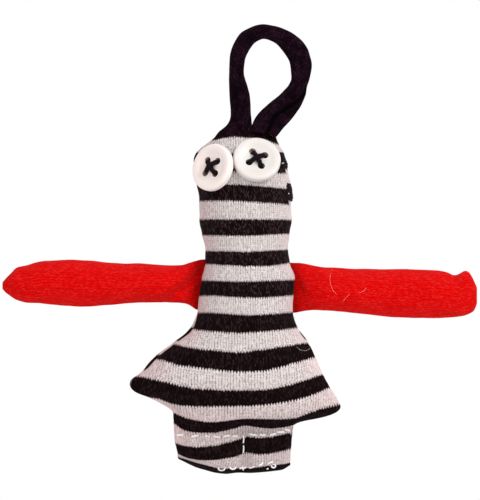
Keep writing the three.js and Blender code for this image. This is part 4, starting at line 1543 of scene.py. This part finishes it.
@dataclass
class LoopStrap:
    """The hanging loop: a rolled strip of black knit whose ends are sewn side by side."""

    width: float = 7.5
    spacing: float = 0.8
    fold: float = 1.8
    faint_fold: float = 0.5
    swell: float = 0.8
    left_lean: float = 1.6
    right_lean: float = 4.6
    wave: float = 0.35
    uneven: float = 0.16

    def form(self) -> RingForm:
        """The strap's rings, at an even spacing."""
        table = np.array(LOOP_ROWS, float)
        rows = resampled(LOOP_ROWS, self.spacing, path_lengths((table[:, :2] + table[:, 2:4]) / 2))
        head_top = (0.0, HEAD_TOP_DROP)
        return RingForm(rows[:, :2] - head_top, rows[:, 2:4] - head_top, rows[:, 4], rows[:, 4], 36)

    @staticmethod
    def fold_line(form: RingForm, count: int) -> Array:
        """How far each point lies in the right strand's lengthwise fold, from 0 to 1.

        Args:
            form: The strap's form.
            count: How many rings it has.

        Returns:
            One value a point.
        """
        share = np.linspace(0, 1, count)[:, None]
        angle = form.angles()[None, :]
        line = hump(np.cos(angle), table_at(FOLD_PATH, share), 0.17) * ramp(share, 0.735, 0.03)
        return np.where(np.sin(angle) > 0, line, 0.0)

    def shaped(self, form: RingForm, rings: Array) -> Array:
        """Adds the lengthwise fold of the right strand, the lean on the head and small waves.

        Args:
            form: The strap's form.
            rings: Its points in millimetres.

        Returns:
            The points, moved.
        """
        share = np.linspace(0, 1, len(rings))[:, None]
        cosine = np.cos(form.angles())[None, :]
        ahead = rings[..., 1] < 0
        faint = self.faint_fold * hump(cosine, -0.35, 0.25) * ramp(share, 0.42, -0.2)
        swell = self.swell * hump(cosine, -0.45, 0.30) * ramp(share, 0.72, 0.10)
        moved = rings.copy()
        moved[..., 1] += self.fold * self.fold_line(form, len(rings)) + np.where(ahead, faint - swell, 0.0)
        below = ramp(rings[..., 2], 2.0 - HEAD_TOP_DROP, -6.0)
        moved[..., 1] -= np.where(share > 0.7, self.right_lean, self.left_lean) * below**1.2
        places = moved * MM
        moved[..., 1] += np.where(ahead, -self.wave, self.wave) * wobble(places, 0.009, 11.0)
        across = unit(form.last - form.first)
        uneven = self.uneven * wobble(places, 0.0035, 17.0) * cosine
        moved[..., 0] += uneven * across[:, :1]
        moved[..., 2] += uneven * across[:, 1:]
        return moved

    def build(self, knit: Material) -> None:
        """Args:
            knit: The black knit.
        """
        form = self.form()
        rings = self.shaped(form, form.rings())
        piece = form.build("loop_strap", rings)
        keep_values(piece, "fold", self.fold_line(form, len(rings)))
        apply_modifier(piece, "SUBSURF", levels=1, render_levels=1)
        dress(piece, knit)
        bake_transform(piece)
        stand_for(piece, "black_knit", "hanging_loop")
        centres = rings.mean(axis=1) * MM
        length = float(path_lengths(centres)[-1])
        tuple(centres[0])
        LOG.info("loop_strap: %.1f mm long", length / MM)


@dataclass
class Sleeve:
    """A stuffed red sleeve, flat where the body's side seam holds it, and its filling."""

    side: Side
    rows: tuple
    seam: tuple[tuple[float, float], tuple[float, float]]
    pinch: tuple[float, float]
    creases: tuple
    seed: float
    spacing: float = 0.9
    columns: int = 44
    ease: float = 0.25
    flat_reach: float = 9.0
    filling_from: float = 3.0
    dent: float = 0.42
    fine_dent: float = 0.15
    piece: Object = field(init=False)

    def form(self, inset: float = 0.0) -> RingForm:
        """The sleeve's rings, or those of its filling, drawn in by an inset.

        Args:
            inset: How far a filling lies in, or 0 for the cloth.

        Returns:
            The form.
        """
        out = column(self.rows, 0)
        rows = resampled(self.rows, self.spacing, out)
        if inset:
            out_of_root = (rows[:, 0] > self.filling_from) & (rows[:, 0] < out[-1] - inset)
            rows = rows[out_of_root & (rows[:, 3] > inset + 1.0)]
        (top_x, _), (bottom_x, _) = self.seam
        lean = (top_x - bottom_x) / 2
        upright = ramp(rows[:, 0], -self.flat_reach, self.flat_reach)
        middle_x = self.pinch[0] + self.side.value * rows[:, 0]
        spare = self.ease - inset
        first = np.stack([middle_x + lean * (1 - upright), self.pinch[1] + rows[:, 1] + spare], axis=1)
        last = np.stack([middle_x - lean * (1 - upright), self.pinch[1] - rows[:, 2] - spare], axis=1)
        thick = np.maximum(rows[:, 3] - inset, 0.3)
        return RingForm(first, last, thick, thick, self.columns)

    def creased(self, rings: Array) -> Array:
        """Adds the creases near the body and soft dents along the sleeve.

        Args:
            rings: Points in millimetres.

        Returns:
            The points, moved.
        """
        moved = rings.copy()
        for start, end, depth, width in self.creases:
            moved[..., 1] += crease(rings, start, end, depth, width)
        dents = self.dent * wobble(moved * MM, 0.012, self.seed)
        dents += self.fine_dent * wobble(moved * MM, 0.0045, self.seed + 5)
        outward = rings - rings.mean(axis=1, keepdims=True)
        outward[..., 0] = 0
        soft = ramp(np.abs(rings[..., 1:2]).max(axis=1, keepdims=True), 0.0, 4.0)
        return moved + unit(outward) * dents[..., None] * soft

    def build(self, knit: Material) -> None:
        """Makes the sleeve, plumped over its stuffing.

        Args:
            knit: The red knit.
        """
        form = self.form()
        rings = self.creased(form.rings())
        self.piece = form.build(f"{self.side.label}_sleeve_cloth", rings)
        pinned = np.zeros(rings.shape[:2], bool)
        pinned[:2] = True
        pinned[-1] = True
        Stuffing(growth=0.025, cap=0.8).plump(self.piece, pinned.ravel())
        apply_modifier(self.piece, "SUBSURF", levels=1, render_levels=1)
        shade_smooth(self.piece)
        dress(self.piece, knit)
        self.bend(self.piece)
        nodes = (f"{self.side.label}_arm_root", f"{self.side.label}_arm_sleeve")
        stand_for(self.piece, "red_knit", *nodes, fill=0.85)

    def bend(self, obj: Object) -> None:
        """Bakes a piece's transform into its mesh."""
        x, z = self.pinch
        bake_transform(obj)

    def build_filling(self, fibre: Material) -> None:
        """Makes the sleeve's stuffing.

        Args:
            fibre: The fibre filling.
        """
        form = self.form(inset=1.8)
        lump = form.build(f"{self.side.label}_sleeve_filling", form.rings())
        draw_in(lump, np.abs(wobble(positions(lump), 0.003, self.seed)) * 0.3)
        dress(lump, fibre)
        self.bend(lump)
        stand_for(lump, "stuffing", f"{self.side.label}_arm_stuffing", fill=0.8)


def tube_draft(draft: Draft, path: Array, radius: Array, sides: int) -> None:
    """Adds a closed tube along a path to a draft.

    Args:
        draft: The mesh so far, in metres.
        path: The centreline's points, in metres.
        radius: The tube's radius at each point, in metres.
        sides: How many sides it has.
    """
    tangents = unit(np.gradient(path, axis=0))
    lead = np.array([0.0, 0.0, 1.0]) if abs(tangents[0][2]) < 0.9 else np.array([1.0, 0.0, 0.0])
    across = unit(np.cross(tangents[0], lead))
    start = draft.count
    angles = (np.arange(sides) * 2 * math.pi / sides)[:, None]
    for centre, tangent, size in zip(path, tangents, radius):
        across = unit(across - tangent * np.dot(across, tangent))
        other = np.cross(tangent, across)
        draft.add_points(centre + size * (np.cos(angles) * across + np.sin(angles) * other))
    lengths = path_lengths(path) / MM
    draft.join_rings(start, [(grid_uvs(np.arange(sides + 1) / sides, lengths[:, None]), 0)])
    for row, turned in ((0, True), (len(path) - 1, False)):
        centre = draft.add_points(path[row])
        for side in range(sides):
            pair = [start + row * sides + side, start + row * sides + (side + 1) % sides]
            if turned:
                pair.reverse()
            draft.add_face([*pair, centre], [(0, lengths[row]), (0.5, lengths[row]), (1, lengths[row])])


def even_path(points: Array, spacing: float) -> Array:
    """A smooth path through points, at an even spacing.

    Args:
        points: The given points.
        spacing: About how far apart the new ones are.

    Returns:
        One new point each.
    """
    lengths = path_lengths(points)
    count = max(3, int(round(lengths[-1] / spacing)) + 1)
    places = np.linspace(0, lengths[-1], count)
    return np.stack([smooth_between(lengths, points[:, axis], places) for axis in range(3)], axis=1)


def plied(path: Array, radius: float, plies: int, pitch: float) -> list[tuple[Array, Array]]:
    """The strands of a thread that is twisted from several plies.

    Args:
        path: Its centreline, evenly spaced, in metres.
        radius: The whole thread's radius, in metres.
        plies: How many strands it has.
        pitch: Length of one full turn, in metres.

    Returns:
        Path and radii of each strand.
    """
    strand = radius / (1 + 1 / math.sin(math.pi / plies))
    offset = radius - strand
    tangents = unit(np.gradient(path, axis=0))
    across = unit(np.cross(tangents, np.array([0.31, -0.83, 0.46])))
    other = np.cross(tangents, across)
    lengths = path_lengths(path)
    strands = []
    for ply in range(plies):
        turn = 2 * math.pi * (lengths / pitch + ply / plies)
        shift = offset * (np.cos(turn)[:, None] * across + np.sin(turn)[:, None] * other)
        strands.append((path + shift, np.full(len(path), strand * 1.12)))
    return strands


@dataclass
class EyeButton:
    """A four-hole button, modelled flat and then sewn on the head, with its crossed thread."""

    side: Side
    centre: Triple
    turn: float
    lean: float
    roll: float
    radius: float = 9.0
    thickness: float = 3.2
    dish: float = 0.7
    rim: float = 3.1
    edge: float = 1.0
    hole_spacing: float = 4.8
    hole_radius: float = 1.35
    thread_radius: float = 0.92

    def placing(self) -> Matrix:
        """Turns the flat button, whose face looks along +Y, and puts it on the head.

        Returns:
            The button's place on the head.
        """
        normal = Vector((0, -1, 0))
        normal.rotate(Quaternion((1, 0, 0), -math.radians(self.lean)))
        normal.rotate(Quaternion((0, 0, 1), math.radians(self.turn)))
        turned = Vector((0, 1, 0)).rotation_difference(normal)
        rolled = Quaternion((0, 1, 0), math.radians(self.roll))
        place = Matrix.Translation(Vector(self.centre) * MM)
        return place @ (turned @ rolled).to_matrix().to_4x4()

    def hole_centres(self) -> list[Vector]:
        """Centres of the holes on the flat button."""
        out = self.hole_spacing / 2 * math.sqrt(2)
        angles = [math.radians(angle) for angle in (45, 135, 225, 315)]
        return [Vector((out * math.cos(angle), 0, out * math.sin(angle))) * MM for angle in angles]

    def turned_blank(self) -> Object:
        """The button's disc, with its raised rim, dish and rounded edges.

        Returns:
            The blank, not yet drilled.
        """
        deselect()
        bpy.ops.mesh.primitive_cylinder_add(
            vertices=96, radius=self.radius * MM, depth=self.thickness * MM,
            location=(0, self.thickness / 2 * MM, 0), rotation=(-math.pi / 2, 0, 0),
        )
        blank = bpy.context.active_object
        bpy.ops.object.transform_apply(location=True, rotation=True, scale=True)
        bpy.context.tool_settings.mesh_select_mode = (False, False, True)
        bpy.ops.object.mode_set(mode="EDIT")
        bpy.ops.mesh.select_all(action="DESELECT")
        bpy.ops.object.mode_set(mode="OBJECT")
        for face in blank.data.polygons:
            face.select = face.normal.y > 0.9
        bpy.ops.object.mode_set(mode="EDIT")
        bpy.ops.mesh.inset(thickness=(self.rim - 1.4) * MM)
        for share in (0.06, 0.22, 0.28, 0.22, 0.16, 0.06):
            bpy.ops.mesh.inset(thickness=0.5 * MM)
            bpy.ops.transform.translate(value=(0, -share * self.dish * MM, 0))
        bpy.ops.object.mode_set(mode="OBJECT")
        sharp = math.radians(50)
        apply_modifier(
            blank, "BEVEL", width=self.edge * MM, segments=8, limit_method="ANGLE", angle_limit=sharp,
        )
        return blank

    def drill(self, blank: Object) -> None:
        """Cuts the four holes.

        Args:
            blank: The button's disc.
        """
        for centre in self.hole_centres():
            deselect()
            bpy.ops.mesh.primitive_cylinder_add(
                vertices=32, radius=self.hole_radius * MM, depth=4 * self.thickness * MM, location=centre,
                rotation=(-math.pi / 2, 0, 0),
            )
            drill = bpy.context.active_object
            apply_modifier(drill, "TRIANGULATE")
            apply_modifier(blank, "BOOLEAN", operation="DIFFERENCE", object=drill, solver="EXACT")
            bpy.data.objects.remove(drill)

    def mark_hole_walls(self, blank: Object) -> None:
        """Gives the walls of the holes their own face slot.

        Args:
            blank: The drilled button.
        """
        centres = self.hole_centres()
        for face in blank.data.polygons:
            middle = face.center
            near = min(math.hypot(middle.x - c.x, middle.z - c.z) for c in centres)
            inside = near < self.hole_radius * 1.03 * MM
            face.material_index = int(inside and abs(face.normal.y) < 0.5)

    def build(self, stock: Material, hole_shade: Material, thread: Material) -> None:
        """Makes the button and its thread.

        Args:
            stock: The button's finish.
            hole_shade: The painted shade of its hole walls.
            thread: The black thread.
        """
        blank = self.turned_blank()
        self.drill(blank)
        blank.name = f"{self.side.label}_button"
        blank.data.name = blank.name
        dress(blank, stock, hole_shade)
        self.mark_hole_walls(blank)
        activate(blank)
        bpy.ops.object.shade_smooth_by_angle(angle=math.radians(35))
        blank.data.transform(self.placing())
        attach(blank, "torso")
        stand_for(blank, "button", f"{self.side.label}_eye_button")
        self.build_thread(thread)

    def build_thread(self, finish: Material) -> None:
        """Makes the cross stitch through the holes, twisted from three plies.

        Args:
            finish: The black thread.
        """
        draft = Draft()
        centres = self.hole_centres()
        face = (self.thickness - self.dish) * MM
        bend = 0.95 * MM
        top = face + 0.75 * MM
        for start, end, rise in ((0, 2, 0.0), (1, 3, 0.85)):
            first, last = centres[start], centres[end]
            inward = (last - first).normalized() * bend
            knots = (
                (0.58, 0.2 * MM), (0.58, face - 0.6 * MM), (0.80, face + 0.25 * MM), (1.6, top + 0.05 * MM),
            )
            ahead = [first + inward * step + Vector((0, height, 0)) for step, height in knots]
            middle = (first + last) / 2 + Vector((0, top + rise * MM, 0))
            back = [last - inward * step + Vector((0, height, 0)) for step, height in reversed(knots)]
            path = even_path(np.array([tuple(point) for point in [*ahead, middle, *back]]), 0.22 * MM)
            for strand, radii in plied(path, self.thread_radius * MM, 3, 3.4 * MM):
                tube_draft(draft, strand, radii, 10)
        thread = draft.build(f"{self.side.label}_button_thread")
        dress(thread, finish)
        thread.data.transform(self.placing())
        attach(thread, "torso")
        stand_for(thread, "black_thread", f"{self.side.label}_eye_thread")


@dataclass
class HandStitches:
    """The hand stitches, thread ends and stray hairs that lie on the finished cloth."""

    front: Object
    back: Object
    sleeve: Object
    radius: float = 0.37
    middle_radius: float = 0.27
    hem_radius: float = 0.29
    seam_radius: float = 0.60
    end_radius: float = 0.24
    skirt_hair_radius: float = 0.03
    sleeve_hair_radius: float = 0.022
    tree: BVHTree = field(init=False)
    back_tree: BVHTree = field(init=False)

    def __post_init__(self) -> None:
        """Prepares the search for the cloths' surfaces."""
        self.tree = self.surface_of(self.front)
        self.back_tree = self.surface_of(self.back)

    @staticmethod
    def surface_of(obj: Object) -> BVHTree:
        """A search tree of an object's surface."""
        faces = [tuple(face.vertices) for face in obj.data.polygons]
        return BVHTree.FromPolygons([vertex.co.copy() for vertex in obj.data.vertices], faces)

    @staticmethod
    def on_surface(tree: BVHTree, across: float, drop: float, lift: float,
                   behind: bool = False) -> Array:
        """A point lifted off a cloth, by its place in the front view.

        Args:
            tree: The cloth's surface.
            across: Place across, in millimetres.
            drop: Drop below the origin, in millimetres.
            lift: How far above the cloth, in millimetres.
            behind: True for the back of the doll.

        Returns:
            The point in metres.
        """
        way = -1 if behind else 1
        start = Vector((across * MM, -0.1 * way, -drop * MM))
        found, normal, _, _ = tree.ray_cast(start, Vector((0, way, 0)))
        if found is None:
            found, normal, _, _ = tree.find_nearest(Vector((across * MM, -0.005 * way, -drop * MM)))
        outward = normal if normal.y * way < 0 else -normal
        return np.array(found + outward * (lift * MM))

    def sewn(self, tree: BVHTree, stitches: Iterable[Stitch]) -> Draft:
        """Draws stitches that follow a cloth.

        Args:
            tree: The cloth's surface.
            stitches: The stitches.

        Returns:
            Their mesh.
        """
        draft = Draft()
        for points, radius, lifts in stitches:
            path = np.array([self.on_surface(tree, x, drop, lift) for (x, drop), lift in zip(points, lifts)])
            smooth = even_path(path, 0.25 * MM)
            radii = np.full(len(smooth), radius * MM)
            radii[[0, -1]] *= 0.6
            tube_draft(draft, smooth, radii, 8)
        return draft

    def build(self, thread: Material, dark: Material) -> None:
        """Makes the stitch groups and the hairs.

        Args:
            thread: The white thread.
            dark: The black thread.
        """
        groups = {
            "hip_running_stitches": (self.sewn(self.tree, self.hip_stitches()), thread),
            "foot_middle_stitches": (self.sewn(self.tree, self.middle_stitches()), thread),
            "hem_stitches": (self.sewn(self.tree, self.hem_stitches()), thread),
            "head_seam_stitches": (self.seam_draft(), dark),
            "thread_ends": (self.sewn(self.tree, self.thread_ends()), thread),
        }
        for name, (draft, finish) in groups.items():
            piece = draft.build(name)
            dress(piece, finish)
            bend_at_hip(piece)
        self.build_hairs(thread)

    def hip_stitches(self) -> Iterator[Stitch]:
        """The running stitches across the hip, which leave small gaps."""
        for number, (x, drop) in enumerate(HIP_STITCHES):
            half = 1.15 + 0.25 * math.sin(2.3 * number)
            tilt = 0.30 * math.sin(1.7 * number + 0.4)
            points = [(x + share * half, drop - share * tilt) for share in (-1.0, -0.6, 0.0, 0.6, 1.0)]
            yield points, self.radius, (-0.35, 0.2, 0.3, 0.2, -0.35)

    def middle_stitches(self) -> Iterator[Stitch]:
        """The upright stitches between the two foot lobes."""
        for top, bottom in MIDDLE_STITCHES:
            points = [(LOBE_X + 0.12 * math.sin(n), top + (bottom - top) * n / 4) for n in range(5)]
            yield points, self.middle_radius, (-0.3, 0.15, 0.2, 0.15, -0.3)

    def hem_stitches(self) -> Iterator[Stitch]:
        """The whip stitches along the hem, no two alike."""
        for number, points in enumerate(HEM_STITCHES):
            radius = self.hem_radius + 0.05 * math.sin(2.7 * number)
            yield points, radius, (-0.25, *[0.2] * (len(points) - 2), -0.25)

    def seam_draft(self) -> Draft:
        """The dark whip stitches round the head's right seam, where it was closed last.

        Returns:
            The stitches' mesh.
        """
        draft = Draft()
        for number, (drop, out, inward) in enumerate(SEAM_STITCHES):
            _, ends = Outline.slice_ends(np.array([drop]))
            edge = float(ends[0])
            wave = 0.2 * math.sin(2.9 * number)
            size = self.seam_radius + 0.06 * math.sin(1.3 * number)
            path = np.array([
                self.on_surface(self.tree, edge - inward - 0.5 - wave, drop - 0.4, -0.5),
                self.on_surface(self.tree, edge - inward + 0.1 - wave, drop - 0.2, 0.0),
                np.array((edge + out - size, -0.8, -drop)) * MM,
                np.array((edge + out - size, 0.6, -drop - 0.2)) * MM,
                self.on_surface(self.back_tree, edge - 0.8, drop + 0.4, -0.3, behind=True),
            ])
            smooth = even_path(path, 0.25 * MM)
            tube_draft(draft, smooth, np.full(len(smooth), size * MM), 10)
        return draft

    def thread_ends(self) -> Iterator[Stitch]:
        """The short white ends of thread that poke out at the seams."""
        for x, drop, lean in THREAD_ENDS:
            points = [(x, drop), (x + 0.25 * lean, drop - 0.3), (x + 0.6 * lean, drop - 0.4)]
            yield points, self.end_radius, (-0.2, 0.5, 0.8)

    def build_hairs(self, finish: Material) -> None:
        """Makes the stray pale hairs: one on the skirt and a few on the right sleeve.

        Args:
            finish: The white thread.
        """
        on_skirt = [(SKIRT_HAIR, self.skirt_hair_radius, (0.1, 0.25, 0.3, 0.25, 0.1))]
        on_sleeve = [(hair, self.sleeve_hair_radius, (0.1, 0.3, 0.2, 0.1)) for hair in SLEEVE_HAIRS]
        for name, tree, hairs, body in (
            ("skirt_hair", self.tree, on_skirt, "torso"),
            ("sleeve_hairs", self.surface_of(self.sleeve), on_sleeve, "right_arm"),
        ):
            piece = self.sewn(tree, hairs).build(name)
            dress(piece, finish)
            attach(piece, body)


@dataclass
class Studio:
    """Camera, lamps, floor and white surround."""

    centre: Triple = (-0.0091, 0.0, -0.0802)
    distance: float = 1.2
    frame_height: float = 0.19
    floor_height: float = -0.225
    ambient: float = 0.62

    def add_camera(self) -> None:
        """Sets the camera square in front of the doll, so that the frame is the photograph's."""
        data = bpy.data.cameras.new("camera")
        data.sensor_width = 36.0
        data.lens = self.distance * data.sensor_width / self.frame_height
        camera = new_object("camera", data)
        camera.location = (self.centre[0], -self.distance, self.centre[2])
        camera.rotation_euler = (math.pi / 2, 0, 0)
        bpy.context.scene.camera = camera

    def add_lamp(self, name: str, place: Triple, size: float, power: float) -> None:
        """Adds a soft square lamp that looks at the doll.

        Args:
            name: The lamp's name.
            place: Where it stands.
            size: Its side in metres.
            power: Its power in watts.
        """
        data = bpy.data.lights.new(name, "AREA")
        set_all(data, shape="SQUARE", size=size, energy=power)
        lamp = new_object(name, data)
        lamp.location = place
        aim = Vector(self.centre) - Vector(place)
        lamp.rotation_euler = aim.to_track_quat("-Z", "Y").to_euler()

    def add_surround(self) -> None:
        """Sets a surround that is white to look at and lights the doll evenly."""
        pen = NodePen("surround", "worlds")
        level = pen.between(pen.seen_by(*View), 0.0, 1.0, self.ambient, 1.0, smooth=False)
        background = pen.feed(pen.node("Background"), Color=rgba(1, 1, 1), Strength=level)
        bpy.context.scene.world = pen.finish("OutputWorld", background)

    def add_floor(self, finish: Material) -> None:
        """Lays the floor under the doll, out of the main view.

        Args:
            finish: The floor's finish.
        """
        deselect()
        bpy.ops.mesh.primitive_grid_add(
            x_subdivisions=8, y_subdivisions=8, size=0.56, location=(self.centre[0], 0, self.floor_height),
        )
        floor = bpy.context.active_object
        floor.name = "studio_floor"
        dress(floor, finish)

    def build(self) -> None:
        """Sets up everything but the camera."""
        scene = bpy.context.scene
        scene.view_settings.view_transform = "Standard"
        self.add_surround()
        self.add_floor(FloorFinish().build())
        self.add_lamp("key_lamp", (0.75, -0.65, 0.60), 0.6, 9.0)
        self.add_lamp("fill_lamp", (-0.6, -0.8, 0.1), 0.8, 2.5)
        self.add_lamp("rear_lamp", (0.25, 0.9, 0.45), 0.8, 3.0)


LEFT_SLEEVE = Sleeve(
    Side.LEFT, LEFT_SLEEVE_ROWS, ((-23.26, -84.1), (-25.59, -102.6)), (-33.424, -93.35), LEFT_CREASES, 21.0,
)
RIGHT_SLEEVE = Sleeve(
    Side.RIGHT, RIGHT_SLEEVE_ROWS, ((10.61, -85.1), (12.19, -103.9)), (20.4, -94.5), RIGHT_CREASES, 31.0,
)
# The two eye buttons are the same stock; the left one's colour carries painted light and the right one's
# painted shade, which set how bright each one renders.
LEFT_BUTTON_PAINTED_LIGHT = ButtonFinish("left_button", (0.935, 0.80, 0.755), (0.955, 0.84, 0.80))
RIGHT_BUTTON_PAINTED_SHADE = ButtonFinish("right_button", (0.74, 0.685, 0.65), (0.77, 0.725, 0.695))
BLACK_THREAD = ThreadFinish("black_thread", (0.013, 0.007, 0.009), (0.002, 0.001, 0.002), 0.01, 0.08)
WHITE_THREAD = ThreadFinish("white_thread", (1.0, 0.985, 0.98), (0.86, 0.83, 0.84))
LEFT_EYE = EyeButton(Side.LEFT, (-18.35, -10.0, -49.5), -38, 12, 30)
RIGHT_EYE = EyeButton(Side.RIGHT, (-2.95, -10.6, -47.0), 6, 27, 6)


def main() -> None:
    """Loads the frame and builds the doll round it, piece by piece."""
    logging.basicConfig(level=logging.INFO, format="%(name)s: %(message)s")
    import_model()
    studio = Studio()
    studio.add_camera()
    LoopStrap().build(BLACK_KNIT.build())
    body = BodyCloth()
    body.build(STRIPED_KNIT.build())
    fibre = FibreFinish().build()
    body.build_fillings(fibre)
    red = RED_KNIT.build()
    for sleeve in (LEFT_SLEEVE, RIGHT_SLEEVE):
        sleeve.build(red)
        sleeve.build_filling(fibre)
    hole_shade = HoleWallFinish().build()
    black = BLACK_THREAD.build()
    LEFT_EYE.build(LEFT_BUTTON_PAINTED_LIGHT.build(), hole_shade, black)
    RIGHT_EYE.build(RIGHT_BUTTON_PAINTED_SHADE.build(), hole_shade, black)
    HandStitches(body.front, body.back, RIGHT_SLEEVE.piece).build(WHITE_THREAD.build(), black)
    studio.build()


if __name__ == "__main__":
    main()
